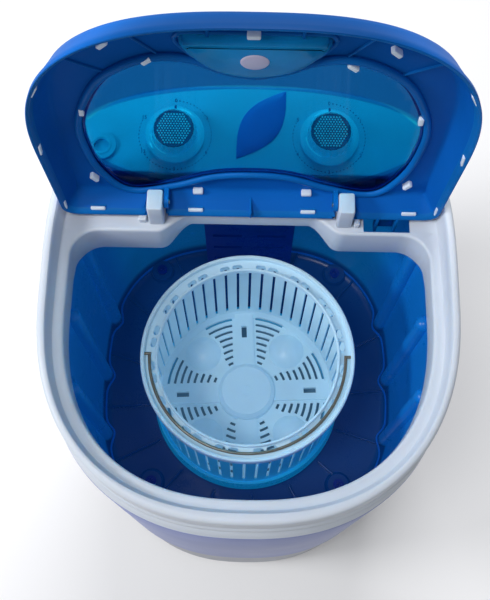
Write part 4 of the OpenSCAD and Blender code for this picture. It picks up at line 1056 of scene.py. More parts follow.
    def console_outline(self, inset: float) -> Loop:
        """The console's outline behind its front wall, anticlockwise, with round front corners.

        Args:
            inset: distance inwards.

        Returns:
            The outline.
        """
        half, rear, power, front = self.console
        whole = squircle(half - inset, rear - inset, rear - inset, power, power)
        arc = whole[whole[:, 1] > front + inset + 4]
        arc = arc[np.argsort(-arc[:, 0])]
        edge = arc[0, 0]
        corner = [(edge + 0.1, front + inset + 3.2), (edge - 0.6, front + inset + 1.2), (edge - 2.2, front + inset)]
        left = [(-x, y) for x, y in corner]
        return radial(np.array([*arc, *left, *corner]), (0, 150), 720)

    def housing(self) -> None:
        """The console's side walls and front wall, up to the panel, with the tongue's opening."""
        height, tilt = self.panel
        front = self.console[3]
        rise = math.tan(math.radians(tilt))
        base = self.console_outline(0)

        def under(drop: float) -> Callable[[np.ndarray], np.ndarray]:
            """Height of the panel's plane lowered by drop."""
            return lambda y: height - drop + rise * (y - front)

        maker = Maker()
        rows = [lifted(base, self.shelf - 0.5), lifted(base, self.shelf + 4)]
        rows += [np.column_stack([base, (1 - t) * (self.shelf + 4) + t * under(5.5)(base[:, 1])])
                 for t in (0.25, 0.5, 0.75, 1.0)]
        rows += [lifted(base, under(3.4)), lifted(self.console_outline(0.6), under(2.9)),
                 lifted(self.console_outline(3), under(2.9))]
        maker.loft(rows)
        piece = maker.build("console_housing", [Look.RIM], "housing", "frame_white")
        x0, x1, z0, z1 = (value * MM for value in self.tongue_gap)
        work = self.scored(piece, ((0, x0), (0, x1), (2, z1), (2, z0)))
        middles = [(f, f.calc_center_median()) for f in work.faces]
        hole = [f for f, c in middles if x0 < c.x < x1 and z0 < c.z < z1 and c.y < (front + 1) * MM]
        bmesh.ops.delete(work, geom=hole, context="FACES")
        work.to_mesh(piece.data)
        work.free()

    def posts(self) -> None:
        """The two hinge posts, flat-topped blocks with soft edges, and the small blocks beside them."""
        away, width, front, rear, top = self.post
        maker = Maker()
        for side in (-1, 1):
            outline = rounded_box(width, rear - front, 2.2)
            maker.slab(outline, self.shelf - 1, top, 1.6, local=moved(side * away, (front + rear) / 2, 0))
        for x, y, wide, deep, high in self.nubs:
            maker.slab(rounded_box(wide, deep, 1.2), self.shelf - 1, self.shelf + high, 1.0, local=moved(x, y, 0))
        maker.build("hinge_posts", [Look.RIM], "housing", "frame_white")

    def build(self) -> None:
        """Builds all of it."""
        maker = Maker()
        maker.loft(self.rings())
        piece = maker.build("top_frame_skin", [Look.RIM], "housing", "frame_white", ["top_frame"])
        self.cut_slot(piece)
        self.housing()
        self.posts()


# Tub
@dataclass
class Tub:
    """The deep blue tub with its ribs and bosses.

    Args:
        half: half width inside.
        reach: half depth inside.
        power: squareness of the outline.
        floor: height of its floor.
        top: height of its top edge.
        spin_y: place of the spin axis.
        ribs: number of radial ribs on the floor.
        bosses: places of the screw bosses.
        wall_ribs: places of the side wall ribs, front to rear.
        rib_r: radius of the side wall ribs.
        rib_start: distance from the spin axis where the floor ribs start.
        rib_gap: distance of their ends from the wall.
    """

    half: float = 163.5
    reach: float = 168.0
    power: float = 2.8
    floor: float = 216.0
    top: float = 454.0
    spin_y: float = -22.0
    ribs: int = 16
    bosses: tuple[tuple[float, float], ...] = ((-104, -118), (104, -118), (-104, 134), (104, 134))
    wall_ribs: tuple[float, ...] = (-67.0, 2.0, 71.0)
    rib_r: float = 8.0
    rib_start: float = 108.0
    rib_gap: float = 2.0

    def outline(self, inset: float) -> Loop:
        """The tub's outline moved in by inset."""
        return squircle(self.half - inset, self.reach - inset, self.reach - inset, self.power, self.power)

    def build(self) -> None:
        """Builds the wall, the floor, their ribs and the bosses."""
        maker = Maker()
        rows = [(-3, self.top - 1), (-0.2, self.top - 0.2), (0, self.top - 3), (0, self.floor + 14),
                (0.6, self.floor + 8), (2.4, self.floor + 3.6), (6, self.floor + 0.8), (10, self.floor)]
        rings = [lifted(self.outline(inset), z) for inset, z in rows]
        base = lifted(self.outline(10), self.floor)
        for share in (0.75, 0.5, 0.25, 0.06):
            rings.append(base * np.array([share, share, 1.0]) + np.array([0, (1 - share) * self.spin_y, 0]))
        maker.loft(rings)
        for k in range(self.ribs):
            turn = 360 * (k + 0.2) / self.ribs
            way = np.array([math.cos(math.radians(turn)), math.sin(math.radians(turn))])
            end = self.to_wall(way) - self.rib_gap
            rib = rounded_box(end - self.rib_start, 2.4, 1.1)
            middle = (self.rib_start + end) / 2
            maker.slab(rib, self.floor - 1, self.floor + 4, 0.9,
                       local=moved(way[0] * middle, self.spin_y + way[1] * middle, 0, turn))
        for side in (-1, 1):
            for y in self.wall_ribs:
                x = side * (self.edge_at(y) - 1)
                profile = [(0, self.floor - 2), (self.rib_r, self.floor - 2), (self.rib_r, self.top - 20)]
                profile += [(self.rib_r * math.cos(a), self.top - 20 + self.rib_r * math.sin(a))
                            for a in np.linspace(0.15, math.pi / 2, 8)]
                maker.lathe(profile, steps=40, local=moved(x, y, 0))
        for x, y in self.bosses:
            maker.lathe([(15.5, self.floor - 0.5), (13.8, self.floor + 0.8), (13, self.floor + 2.4),
                         (12.6, self.floor + 5.2), (11.6, self.floor + 6), (0, self.floor + 6)], steps=48,
                        local=moved(x, y, 0))
        maker.tube(lifted(self.floor_line(), self.floor + 3.5), 1.2, 1, 10, closed=True, flat=1.6)
        maker.build("tub_skin", [Look.TUB, Look.TUB_EDGE], "housing", "tub_blue", ["wash_tub"])

    def floor_line(self) -> Loop:
        """The wavy line where wall and floor meet, drawn in at each wall rib.

        Returns:
            The closed line.
        """
        line = self.outline(2.5)
        draw = np.zeros(len(line))
        for side in (-1, 1):
            for y in self.wall_ribs:
                off = (line[:, 1] - y) / 11
                draw += np.where(line[:, 0] * side > 60, 8 * np.exp(-off ** 2), 0)
        return line * (1 - draw / np.maximum(np.hypot(line[:, 0], line[:, 1]), 1))[:, None]

    def edge_at(self, y: float) -> float:
        """Half width of the outline at y."""
        return self.half * (1 - abs(y / self.reach) ** self.power) ** (1 / self.power)

    def to_wall(self, way: np.ndarray) -> float:
        """Distance from the spin axis to the wall in a direction.

        Args:
            way: the direction, of length one.

        Returns:
            The distance, to the next half millimetre.
        """
        for reach in np.arange(100, 260, 0.5):
            x, y = way[0] * reach, self.spin_y + way[1] * reach
            if abs(x / self.half) ** self.power + abs(y / self.reach) ** self.power >= 1:
                return float(reach)
        return 200.0


# Console
@dataclass
class Console:
    """The control panel with its leaf, scales and timer dials.

    Args:
        frame: the top frame that carries it.
        knob_x: distance of each knob from the middle.
        knob_y: distance of the knobs from the panel's front edge.
        skirt: radius and height of the knob's skirt.
        cap: radius and height of its cap.
        leaf: length, width, turn and middle of the leaf.
        scale_r: radius of the ring of numbers.
        digit: height of the numbers, half their thickness and how far their middle stands out.
    """

    frame: TopFrame = field(default_factory=TopFrame)
    knob_x: float = 68.0
    knob_y: float = 34.5
    skirt: tuple[float, float] = (26.0, 5.0)
    cap: tuple[float, float] = (19.4, 17.0)
    leaf: tuple[float, float, float, float, float] = (77.0, 34.0, 56.0, 8.0, 45.5)
    scale_r: float = 32.0
    digit: tuple[float, float, float] = (4.6, 0.12, 0.2)

    def local(self, x: float = 0.0, y: float = 0.0, z: float = 0.0, turn: float = 0.0) -> np.ndarray:
        """The panel's own place, moved by x, y up the slope and z out of the face.

        Args:
            x: distance across the panel.
            y: distance up its slope.
            z: distance out of its face.
            turn: turn in its plane, in degrees.

        Returns:
            The 4 by 4 move.
        """
        height, tilt = self.frame.panel
        seat = Matrix.Translation((0, self.frame.console[3], height)) @ Matrix.Rotation(math.radians(tilt), 4, "X")
        return np.array(seat) @ moved(x, y, z, turn)

    def plate(self) -> None:
        """The panel plate with a soft edge, over the console housing."""
        height, tilt = self.frame.panel
        front = self.frame.console[3]
        rise = math.tan(math.radians(tilt))
        maker = Maker()
        rows = [(0.8, 2.9), (0.2, 2.5), (0.0, 1.2), (0.3, 0.4), (1.2, 0.0), (2.4, 0.0), (4.4, 0.0)]
        rings = []
        for inset, drop in rows:
            loop = self.frame.console_outline(inset)
            rings.append(np.column_stack([loop, height - drop + rise * (loop[:, 1] - front)]))
        maker.loft(rings, last=True)
        maker.build("panel_plate", [Look.PANEL], "housing", "panel_blue", ["control_panel"])

    def leaf_inlay(self) -> None:
        """The plain leaf-shaped inlay, gently crowned."""
        length, width, turn, x, y = self.leaf
        along = np.linspace(-0.5, 0.5, 49)
        half = width / 2 * np.sin(math.pi * (along + 0.5))
        lower = np.stack([along * length, -half], axis=1)[:-1]
        upper = np.stack([along[::-1] * length, half[::-1]], axis=1)[:-1]
        outline = np.concatenate([lower, upper])
        maker = Maker()
        rings = [lifted(outline, -0.2), lifted(outline, 0.6), lifted(outline * 0.97, 0.95), lifted(outline * 0.6, 1.25),
                 lifted(outline * 0.1, 1.4)]
        maker.loft(rings, last=True, local=self.local(x, y, 0, turn))
        maker.build("leaf_plate", [Look.LEAF], "housing", "navy", ["panel_leaf_inlay"])

    def inlet(self) -> None:
        """The water inlet's flange with its rolled rings, over the pipe."""
        maker = Maker()
        profile = [(13.2, -0.2), (12.8, 1.6), (11.8, 2.9), (10.6, 3.1), (9.8, 2.6), (9.2, 2.6), (8.6, 3.2),
                   (7.4, 3.4), (6.4, 2.9), (6.05, 1.8), (6.05, -12)]
        maker.lathe(profile, local=self.local(-132, 23, 0))
        maker.build("inlet_flange", [Look.PANEL], "housing", "panel_blue")

    def scales(self) -> None:
        """The rings of fine dots and plain numbers round the dials, as thin raised print."""
        maker = Maker()
        for side in (-1, 1):
            for step in (k for k in range(50) if k % 10):
                turn = math.radians(90 - 6 * step)
                x, y = self.scale_r * math.cos(turn), self.scale_r * math.sin(turn)
                maker.lathe([(0.55, 0.0), (0.55, 0.15), (0.3, 0.25), (0, 0.25)], steps=10,
                            local=self.local(side * self.knob_x + x, self.knob_y + y))
        maker.build("scale_dots", [Look.PRINT], "housing", "frame_white")
        for side, step in ((-1, 3), (1, 1)):
            for k in range(6):
                turn = math.radians(90 - 60 * k)
                self.number(str(step * k), f"number_{'wash' if side < 0 else 'spin'}_{k}",
                            side * self.knob_x + self.scale_r * math.cos(turn),
                            self.knob_y + self.scale_r * math.sin(turn))

    def number(self, word: str, name: str, x: float, y: float) -> None:
        """Adds one plain dial number.

        Args:
            word: its digits.
            name: name of the piece.
            x: place across the panel.
            y: place up the panel.
        """
        size, half, out = self.digit
        curve = bpy.data.curves.new(name, "FONT")
        curve.body = word
        curve.size = size * MM
        curve.extrude = half * MM
        curve.align_x = "CENTER"
        curve.align_y = "CENTER"
        draft = bpy.data.objects.new(name + "_draft", curve)
        bpy.context.scene.collection.objects.link(draft)
        bpy.context.view_layer.update()
        mesh = bpy.data.meshes.new_from_object(draft.evaluated_get(bpy.context.evaluated_depsgraph_get()))
        bpy.data.objects.remove(draft)
        seat = Matrix(self.local(x, y, out).tolist())
        seat.translation = seat.translation * MM
        mesh.transform(seat)
        mesh.materials.clear()
        mesh.materials.append(Look.PRINT.value.material())
        piece = bpy.data.objects.new(name, mesh)
        bpy.context.scene.collection.objects.link(piece)
        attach(piece, "housing")

    def dial(self, name: str, side: int, body: str, node: str) -> None:
        """One timer dial: clear skirt, fluted cap, raised dots on its face and two painted highlight arcs at its lower
        left.

        Args:
            name: name of the piece.
            side: -1 for the left dial and 1 for the right one.
            body: the body that it rides on.
            node: the CAD node that it stands for.
        """
        skirt_r, skirt_h = self.skirt
        cap_r, cap_h = self.cap
        maker = Maker(self.local(side * self.knob_x, self.knob_y))
        maker.lathe([(skirt_r - 0.6, 0.4), (skirt_r, 0.9), (skirt_r, 2.2), (skirt_r - 0.8, 2.9), (cap_r + 4, 4.6),
                     (cap_r + 2.0, skirt_h), (cap_r + 0.6, skirt_h + 0.2), (cap_r, skirt_h + 1)], 0, first=True)
        turn = 2 * np.pi * np.arange(192) / 192
        flute = 0.45 * np.cos(24 * turn)
        rings = []
        for inset, z, share in ((0, skirt_h + 0.6, 1), (0.4, cap_h - 4, 1), (0.9, cap_h - 2, 0.8),
                                (2.0, cap_h - 0.9, 0.3), (3.2, cap_h - 0.6, 0), (4.0, cap_h - 1.2, 0),
                                (8.0, cap_h - 1.0, 0), (16.8, cap_h - 0.8, 0)):
            r = cap_r - inset + share * flute
            rings.append(np.column_stack([r * np.cos(turn), r * np.sin(turn), np.full(192, z)]))
        maker.loft(rings[:4], 0)
        maker.loft(rings[3:], 1, last=True)
        pitch = 2.5
        for row in range(-7, 8):
            for col in range(-7, 8):
                x, y = pitch * (col + 0.5 * (row % 2)), pitch * 0.866 * row
                if math.hypot(x, y) < cap_r - 4.4:
                    maker.lathe([(0.8, -0.2), (0.7, 0.35), (0.4, 0.7), (0, 0.8)], 3, 10,
                                local=moved(x, y, cap_h - 1.0))
        maker.slab(rounded_box(1.8, 9, 0.8), skirt_h - 0.5, skirt_h + 0.8, 0.4, 2, local=moved(0, cap_r + 2.2, -0.6))
        # Painted highlights: bright arcs at the lower left of the skirt and of the cap stand in for glints.
        for radius, height, start, stop in ((skirt_r - 1.6, 3.0, 195, 290), (cap_r + 1.4, skirt_h + 0.5, 185, 250)):
            arc = np.radians(np.linspace(start, stop, 40))
            maker.tube(np.column_stack([radius * np.cos(arc), radius * np.sin(arc), np.full(40, height)]), 0.45, 3,
                       8)
        maker.build(name, [Look.KNOB, Look.KNOB_CAP, Look.PRINT, Look.DOTS_AND_GLINTS], body, "knob_clear", [node])

    def build(self) -> None:
        """Builds the panel and both dials."""
        self.plate()
        self.leaf_inlay()
        self.inlet()
        self.scales()
        self.dial("wash_dial_cap", -1, "wash_dial", "wash_knob")
        self.dial("spin_dial_cap", 1, "spin_dial", "spin_knob")


# Lid
@dataclass
class Lid:
    """The blue lid with its clear window, finger scoop, clips and badge, drawn closed and turned open.

    Args:
        half: half width of the free edge.
        front: front reach of the free edge.
        rear: rear edge.
        power: squareness of its front.
        corner: radius of its rear corners.
        thick: wall thickness.
        rear_z: height of the top at the rear.
        front_z: height of the top at the front.
        crown_r: radius of the crown.
        edge: heights of the free edge at front and rear.
        lean: inward lean of the skirt at the top.
        hinge: y and z of the hinge axis.
        open_by: opening angle in degrees.
        bean: half of the window's outline, x and distance from the rear edge.
        scoop: half of the finger scoop's outline, x and distance from the rear edge.
        scoop_depth: depth of the finger scoop.
        post_x: distance of the hinge posts from the middle.
        post_gap: half width, depth and height of the rear wall's gaps for them.
        rib_turns: directions of the ribs between window and skirt, in degrees.
        badge_from: distance of the badge's middle from the rear edge.
    """

    half: float = 166.5
    front: float = 171.0
    rear: float = 103.0
    power: float = 2.65
    corner: float = 12.0
    thick: float = 2.5
    rear_z: float = 522.0
    front_z: float = 504.0
    crown_r: float = 900.0
    edge: tuple[float, float] = (483.5, 500.0)
    lean: float = 10.0
    hinge: tuple[float, float] = (87.4, 506.0)
    open_by: float = 92.0
    bean: tuple[tuple[float, float], ...] = (
        (0, 183), (24, 190), (45, 203), (67, 205), (92, 190), (112, 165), (130, 118), (131, 76), (123, 42),
        (105, 19), (69, 27), (34, 42), (0, 46))
    scoop: tuple[tuple[float, float], ...] = (
        (0, 190.5), (20, 195), (34, 205), (44, 219), (50, 231), (49, 237), (44, 239.5), (22, 239.5), (0, 239.5))
    scoop_depth: float = 11.0
    post_x: float = 84.0
    post_gap: tuple[float, float, float] = (8.6, 6.0, 516.4)
    rib_turns: tuple[float, ...] = (-148, -126, -56, -33)
    badge_from: float = 216.5

    def place(self) -> np.ndarray:
        """The turn from closed to open."""
        return turned(-self.open_by, (0, *self.hinge))

    def crown(self, drop: float) -> Callable[[np.ndarray], np.ndarray]:
        """Height of the crowned top lowered by drop, as a function of y.

        Args:
            drop: distance below the top.

        Returns:
            The function.
        """
        middle = np.array([(self.rear - self.front) / 2, (self.rear_z + self.front_z) / 2])
        chord = np.array([self.rear + self.front, self.rear_z - self.front_z])
        length = float(np.linalg.norm(chord))
        depth = math.sqrt(self.crown_r ** 2 - (length / 2) ** 2)
        centre = middle + depth * np.array([chord[1], -chord[0]]) / length
        return lambda y: centre[1] + np.sqrt((self.crown_r - drop) ** 2 - (y - centre[0]) ** 2)

    def free_edge(self, lift: float) -> Callable[[np.ndarray], np.ndarray]:
        """Height of the sloped free edge raised by lift."""
        low, high = self.edge
        return lambda y: low + lift + (high - low) * (y + self.front) / (self.front + self.rear)

    def outline(self, grow: float) -> Loop:
        """The lid's outline moved out by grow.

        Args:
            grow: distance outwards.

        Returns:
            The outline.
        """
        points = [(self.half - self.corner + (self.corner + grow) * math.cos(a),
                   self.rear - self.corner + (self.corner + grow) * math.sin(a))
                  for a in np.linspace(math.pi / 2, 0, 24)]
        for a in np.linspace(0, math.pi / 2, 500):
            points.append(((self.half + grow) * max(math.cos(a), 0.0) ** (2 / self.power),
                           -(self.front + grow) * math.sin(a) ** (2 / self.power)))
        for x in np.linspace(self.half - self.corner - 2, 1, 60):
            points.append((x, self.rear + grow))
        right = np.array(points)
        return radial(np.concatenate([right, right * np.array([-1, 1])]), (0, -20))

    def window_outline(self, grow: float) -> Loop:
        """The bean-shaped window's outline, moved out by grow."""
        return self.spline(self.bean, grow)

    def scoop_outline(self, grow: float) -> Loop:
        """The finger scoop's outline, flat at the free edge and round towards the window."""
        return self.spline(self.scoop, grow)

    def spline(self, half_points: Sequence[tuple[float, float]], grow: float) -> Loop:
        """A smooth closed outline through half of its points and their mirror images.

        Args:
            half_points: x and distance from the rear edge of each point.
            grow: distance by which it moves outwards.

        Returns:
            The outline.
        """
        half = [np.array(p, float) for p in half_points]
        whole = half + [p * np.array([-1, 1]) for p in half[::-1] if p[0] > 0.001]
        count = len(whole)
        points = []
        for i in range(count):
            a, b, c, d = (whole[(i + k) % count] for k in (-1, 0, 1, 2))
            for t in np.linspace(0, 1, 8, endpoint=False):
                points.append(0.5 * (2 * b + (c - a) * t + (2 * a - 5 * b + 4 * c - d) * t * t
                                     + (3 * b - a - 3 * c + d) * t ** 3))
        return self.pushed(np.array([(p[0], self.rear - p[1]) for p in points]), grow)

    @staticmethod
    def pushed(loop: Loop, grow: float) -> Loop:
        """Moves a loop outwards, whichever way round it runs."""
        area = np.sum(loop[:, 0] * np.roll(loop[:, 1], -1) - np.roll(loop[:, 0], -1) * loop[:, 1])
        return grown(loop, grow if area > 0 else -grow)

    def posts_gap(self, ring: np.ndarray) -> np.ndarray:
        """Raises the free edge of the rear wall where it passes the hinge posts.

        Args:
            ring: points of the ring, n by 3, which it changes.

        Returns:
            The same ring.
        """
        half, depth, top = self.post_gap
        for side in (-1, 1):
            near = (np.abs(ring[:, 0] - side * self.post_x) < half) & (ring[:, 1] > self.rear - depth)
            ring[near, 2] = np.maximum(ring[near, 2], top)
        return ring

    def moulding(self) -> None:
        """The blue moulding: leaning skirt and crowned plate with its two openings."""
        maker = Maker(self.place())
        top, under = self.crown(0), self.crown(self.thick)
        outer_rows = [(0.0, self.free_edge(0.0), 0.0), (0.35, self.free_edge(0.5), 0.0), (0.0, None, 0.12),
                      (-0.3 * self.lean, None, 0.35), (-0.75 * self.lean, None, 0.75), (-0.9 * self.lean, None, 0.9),
                      (-1.0 * self.lean - 0.6, None, 0.97), (-1.0 * self.lean - 2.6, None, 1.0)]
        rings = []
        for inset, height, share in outer_rows:
            loop = self.outline(inset)
            low, high = self.free_edge(0.5)(loop[:, 1]), top(loop[:, 1])
            z = height(loop[:, 1]) if height else low + share * (high - low)
            rings.append(self.posts_gap(np.column_stack([loop, z])))
        inner = []
        for inset, share in ((-0.6, 0.0), (-self.thick, 0.05), (-0.2 * self.lean - self.thick, 0.24),
                             (-0.5 * self.lean - self.thick, 0.55),
                             (-0.86 * self.lean - self.thick, 0.9), (-1.0 * self.lean - self.thick - 1, 0.985),
                             (-1.0 * self.lean - self.thick - 3.4, 1.0)):
            loop = self.outline(inset)
            low, high = self.free_edge(0.0)(loop[:, 1]), under(loop[:, 1])
            inner.append(self.posts_gap(np.column_stack([loop, low + share * (high - low)])))
        maker.loft(rings[::-1])
        maker.loft([rings[0], *inner[:3]], 1)
        maker.loft(inner[2:])
        window, scoop = self.window_outline(0), self.scoop_outline(0)
        maker.sheet(rings[-1][:, :2], [window, scoop], top, 7.0)
        maker.sheet(inner[-1][:, :2], [window, scoop], under, 7.0, down=True)
        for hole in (window, scoop):
            maker.loft([lifted(hole, top), lifted(hole, under)])
        maker.build("lid_moulding", [Look.LID, Look.LID_TEAL], "lid", "lid_blue", ["lid_frame"], sharp=40)

    def ribs(self) -> None:
        """The beads round window and scoop and the ribs between them and the skirt, on the inside."""
        maker = Maker(self.place())
        under = self.crown(self.thick + 2.0)
        maker.tube(lifted(self.window_outline(5.5), under), 3.2, closed=True, steps=14)
        maker.tube(lifted(self.scoop_outline(2.4), self.crown(self.thick + 1.0)), 1.5, closed=True, steps=10)
        for side in (-1, 1):
            path = np.array([(side * 31.0, self.rear - s) for s in np.linspace(240, 254, 6)])
            maker.tube(lifted(path, self.crown(self.thick + 1.0)), 1.4, flat=2.0, steps=8)
        maker.slab(rounded_box(2.0, 7.0, 0.9), 498, 517, 0.6, local=moved(0, self.rear - self.thick - 3.4, 0))
        edge = self.outline(-self.lean - 3)
        bean = self.window_outline(7)
        for turn in self.rib_turns:
            way = np.array([math.cos(math.radians(turn)), math.sin(math.radians(turn))])
            start, end = self.cross(bean, way), self.cross(edge, way)
            if start is None or end is None or np.linalg.norm(end - start) < 8:
                continue
            path = np.array([start + (end - start) * t for t in np.linspace(0, 1, 8)])
            maker.tube(lifted(path, self.crown(self.thick + 0.4)), 1.0, flat=1.6, steps=8)
        maker.build("lid_beads", [Look.LID_BEAD], "lid", "lid_blue")

    @staticmethod
    def cross(loop: Loop, way: np.ndarray) -> np.ndarray | None:
        """The point of a loop in a direction from its middle.

        Args:
            loop: the outline.
            way: the direction, of length one.

        Returns:
            The point, or none where no part of the loop lies that way.
        """
        rel = loop - np.array([0, -20])
        ahead = rel @ way
        off = np.abs(rel @ np.array([-way[1], way[0]]))
        good = ahead > 0
        if not good.any():
            return None
        return loop[good][np.argmin(off[good])]

    def hardware(self) -> None:
        """Hinge ears and the U-shaped switch tongue."""
        maker = Maker(self.place())
        y0, z0 = self.hinge
        half_post, play, half_ear, ear_r, ear_top = 7.0, 0.6, 2.0, 6.0, 519.4
        shape = [(y0 + ear_r * math.cos(a), z0 + ear_r * math.sin(a)) for a in np.linspace(math.pi, 2 * math.pi, 24)]
        shape = np.array([*shape, (y0 + ear_r, ear_top), (y0 - ear_r, ear_top)])
        for side in (-1, 1):
            x = side * (self.post_x - half_post - play - half_ear)
            rings = [np.column_stack([np.full(len(shape), x + dx), shape]) for dx in (-half_ear, half_ear)]
            maker.loft(rings, first=True, last=True)
        across, near, back, wide, depth, wall = 123.0, 100.5, 127.4, 20.0, 8.0, 2.5
        low, middle = z0 - ear_r, (back + near) / 2
        for x in (-wide / 2 + wall / 2, wide / 2 - wall / 2):
            maker.slab(rounded_box(wall, back - near, 0.6), low, low + depth, 0.5, local=moved(across + x, middle, 0))
        maker.slab(rounded_box(wide, back - near, 1.2), low + depth - wall, low + depth, 0.6,
                   local=moved(across, middle, 0))
        maker.build("lid_hardware", [Look.LID_BEAD], "lid", "lid_blue")

    def window(self) -> None:
        """The clear window, flush with the top and lapped under the moulding."""
        maker = Maker(self.place())
        rows = [(-0.15, 0.1), (-0.1, self.thick - 0.05), (3.9, self.thick + 0.05), (4.0, self.thick + 1.6),
                (3.4, self.thick + 2.0)]
        loops = [lifted(self.window_outline(grow), self.crown(drop)) for grow, drop in rows]
        maker.loft(loops)
        maker.sheet(loops[0][:, :2], [], self.crown(0.1), 9.0)
        maker.sheet(loops[-1][:, :2], [], self.crown(self.thick + 2.0), 9.0, down=True)
        maker.build("window_pane", [Look.WINDOW], "lid", "lid_clear", ["lid_window"], sharp=50)

    def finger_scoop(self) -> None:
        """The clear finger scoop, a dished tray with a thin wall."""
        maker = Maker(self.place())
        depth = self.scoop_depth
        rows = [(-0.3, 0.0), (-0.2, 1.5), (-0.9, depth - 4), (-3.2, depth - 0.9), (-7, depth)]
        outer = [lifted(self.scoop_outline(grow), self.crown(drop)) for grow, drop in rows]
        rows = [(-2.0, 0.0), (-2.2, 2), (-3, depth - 5.2), (-5, depth - 2.6), (-8, depth - 1.8)]
        inner = [lifted(self.scoop_outline(grow), self.crown(drop)) for grow, drop in rows]
        maker.loft([*outer[::-1], *inner], first=True, last=True)
        maker.build("scoop_tray", [Look.SCOOP], "lid", "lid_clear", ["lid_finger_scoop"])

    def badge(self) -> None:
        """The plain round badge in the scoop."""
        maker = Maker(self.place())
        y = self.rear - self.badge_from
        low, high = self.crown(self.scoop_depth)(np.array([y - 5, y + 5]))
        z = (low + high) / 2
        seat = turned(math.degrees(math.atan2(high - low, 10)), (0, y, z)) @ moved(0, y, z)
        profile = [(0, -0.7), (8.6, -0.7), (9.2, -0.5), (9.7, 0), (9.7, 2.4), (9.2, 2.9), (0, 2.9)]
        maker.lathe(profile, steps=64, local=seat)
        maker.build("badge_disc", [Look.BADGE], "lid", "badge_lilac", ["lid_badge"])

    def clips(self) -> None:
        """The small white snap hooks on the inside of the lid."""
        maker = Maker(self.place())
        near = [(-73, 208), (-130, 135), (-136, 33), (-47, 14), (49, 14), (136, 29), (128, 130), (67, 204)]
        far = [(-100, 228), (-1, 242), (93, 224)]
        for x, s in near + far:
            y = max(self.rear - s, -self.front + 16)
            turn = 0 if abs(x) < 110 and s < 60 else math.degrees(math.atan2(y + 20, x)) + 90
            z = float(self.crown(self.thick)(np.array([y]))[0])
            maker.slab(rounded_box(9, 4, 1.2), z - 5.5, z + 0.4, 1.0, local=moved(x, y, 0, turn))
        for x in (-136, -49, 51, 141):
            seat = moved(x, self.rear - self.thick - 1.6, 0)
            maker.slab(rounded_box(13, 4.4, 0.9), 502.6, 505.2, 0.7, local=seat)
            maker.slab(rounded_box(15, 3.4, 0.9), 505.3, 512, 0.5, 1, local=seat)
        for x, s, turn in ((-149.6, 197, -62), (-163.4, 114, -86), (-163.4, 14, 90), (149.6, 197, 62),
                           (163.4, 109, 86), (163.4, 14, 90)):
            y = self.rear - s
            z = float(self.free_edge(0)(np.array([y]))[0])
            maker.slab(rounded_box(12, 2.0, 0.7), z + 1.5, z + 5.5, 0.6, local=moved(x, y, 0, turn))
        maker.build("lid_clips", [Look.CLIP, Look.LID_TEAL], "lid", "frame_white")

    def build(self) -> None:
        """Builds the whole lid."""
        self.moulding()
        self.ribs()
        self.hardware()
        self.window()
        self.finger_scoop()
        self.badge()
        self.clips()


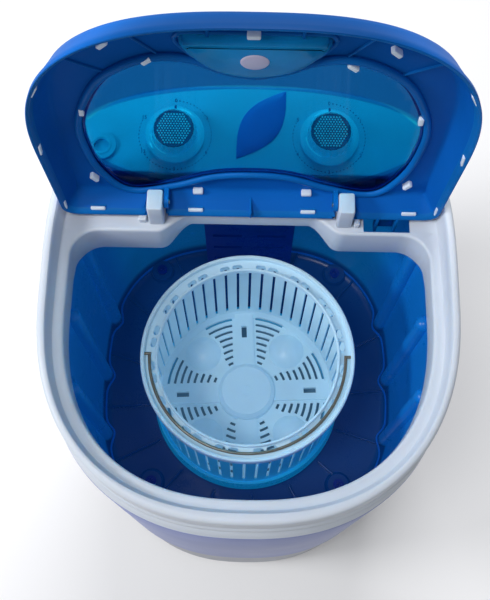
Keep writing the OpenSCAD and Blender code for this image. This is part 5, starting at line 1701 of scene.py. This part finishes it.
# Basket collar
@dataclass
class Collar:
    """The ring on top of the basket: two rims and a thin floor with slots in pairs.

    Args:
        axis_y: place of the spin axis.
        radii: outer rim, its foot, foot of the inner rim and the opening.
        heights: underside, thin floor and top.
        slot: middle radius, width and length of a slot.
        pairs: number of slot pairs.
        pair_turn: turn of each slot from the middle of its pair, in degrees.
        skin: thickness of the thin floor.
        steps: number of steps round the ring.
        bail: radius of the bail, radius of its wire and its height.
        pins: distances from the axis of the ends of the bail's pins.
    """

    axis_y: float = -22.0
    radii: tuple[float, float, float, float] = (102.0, 98.2, 88.0, 85.5)
    heights: tuple[float, float, float] = (393.4, 399.6, 405.4)
    slot: tuple[float, float, float] = (91.3, 5.2, 10.0)
    pairs: int = 16
    pair_turn: float = 3.9
    skin: float = 1.6
    steps: int = 192
    bail: tuple[float, float, float] = (93.5, 1.45, 401.5)
    pins: tuple[float, float] = (92.2, 98.8)

    def slot_outline(self, turn: float, grow: float = 0.0) -> Loop:
        """One rounded slot, bent round the axis.

        Args:
            turn: its middle angle in degrees.
            grow: distance by which it is wider.

        Returns:
            The outline.
        """
        middle, width, length = self.slot
        flat = rounded_box(length + 2 * grow, width + 2 * grow, width / 2 + grow, 5)
        angle = math.radians(turn) + flat[:, 0] / middle
        reach = middle + flat[:, 1]
        return np.stack([reach * np.cos(angle), reach * np.sin(angle)], axis=1)

    def build(self) -> None:
        """Builds the ring and its bail."""
        self.wire()
        outer, foot, inner, bore = self.radii
        low, floor, top = self.heights
        under = floor - self.skin
        maker = Maker(moved(0, self.axis_y, 0))
        maker.lathe([(foot, floor), (foot + 0.1, top - 0.9), (foot + 0.7, top - 0.2), (foot + 1.6, top),
                     (outer - 0.8, top - 0.2), (outer, top - 1.4), (outer, low + 1.2), (outer - 1, low),
                     (outer - 4.4, low), (foot, under)], steps=self.steps)
        maker.lathe([(inner, floor), (inner - 0.1, top - 0.8), (inner - 0.7, top - 0.1), (bore + 0.8, top - 0.1),
                     (bore, top - 0.9), (bore, floor - 1.2), (bore + 0.4, under), (inner, under)],
                    steps=self.steps)
        turns = [360 * (k + 0.5) / self.pairs + side * self.pair_turn for k in range(self.pairs) for side in (-1, 1)]
        holes = [self.slot_outline(turn) for turn in turns]
        round_turn = 2 * np.pi * np.arange(self.steps) / self.steps
        circle = np.stack([np.cos(round_turn), np.sin(round_turn)], axis=1)
        for z, down in ((floor, False), (under, True)):
            maker.sheet(circle * foot, [circle * inner, *holes], lambda y, z=z: np.full(len(y), z), 5.0, down=down)
        for hole in holes:
            maker.loft([lifted(hole, floor), lifted(hole, under)])
        maker.build("collar_ring", [Look.COLLAR], "basket", "basket_blue", ["basket_collar"], sharp=28)

    def wire(self) -> None:
        """The steel bail, a half circle whose ends turn out into the ring."""
        reach, thick, high = self.bail
        half = np.linspace(math.pi, 2 * math.pi, 97)
        path = np.column_stack([reach * np.cos(half), reach * np.sin(half), np.full(len(half), high)])
        maker = Maker(moved(0, self.axis_y, 0))
        maker.tube(path, thick)
        for side in (-1, 1):
            maker.tube(np.array([(side * x, 0.0, high) for x in np.linspace(*self.pins, 5)]), thick)
        maker.build("bail_wire", [Look.WIRE], "bail", "dark_steel", ["basket_bail"])


# Kept solids
@dataclass
class Works:
    """The CAD solids that stay as they are and only get their finish.

    Args:
        looks: the finish of each node.
    """

    looks: dict[str, Look] = field(default_factory=lambda: {
        "base_housing": Look.BASE, "rubber_feet": Look.RUBBER, "tub_screws": Look.NAVY,
        "filter_column": Look.NAVY, "water_inlet_port": Look.PANEL, "wash_timer": Look.ALLOY,
        "spin_timer": Look.ALLOY, "lid_switch": Look.BLACK, "switch_plunger": Look.IVORY,
        "motor_plate": Look.STEEL, "plate_spacers": Look.STEEL, "motor": Look.MOTOR, "motor_shaft": Look.STEEL,
        "motor_pulley": Look.ALLOY, "drive_belt": Look.RUBBER, "drive_pulley": Look.ALLOY,
        "drive_shaft": Look.STEEL, "bearing_housing": Look.ALLOY, "upper_bearing": Look.STEEL,
        "lower_bearing": Look.STEEL, "shaft_seal": Look.RUBBER, "pulsator": Look.PULSATOR,
        "pulsator_screw": Look.STEEL, "spin_basket": Look.BASKET,
        "drain_pipe": Look.HOUSE_WHITE, "capacitor": Look.IVORY,
        "back_cover": Look.BASE, "back_cover_screws": Look.STEEL, "cord_gland": Look.BLACK,
        "hinge_pins": Look.STEEL})

    def build(self) -> None:
        """Gives each kept node its material."""
        for name, look in self.looks.items():
            node = frame["nodes"][name]
            node.data.materials.clear()
            node.data.materials.append(look.value.material())
            log.info("%s keeps its solid as %s", name, look.value.name)


def main() -> None:
    """Builds the stage, the machine's skins and the kept solids in order."""
    logging.basicConfig(level=logging.INFO, format="%(message)s")
    body = Body()
    top = TopFrame(body)
    for piece in (Studio(), body, top, Tub(), Console(top), Lid(), Collar(), Works()):
        log.info("building %s", type(piece).__name__)
        piece.build()


if __name__ == "__main__":
    main()
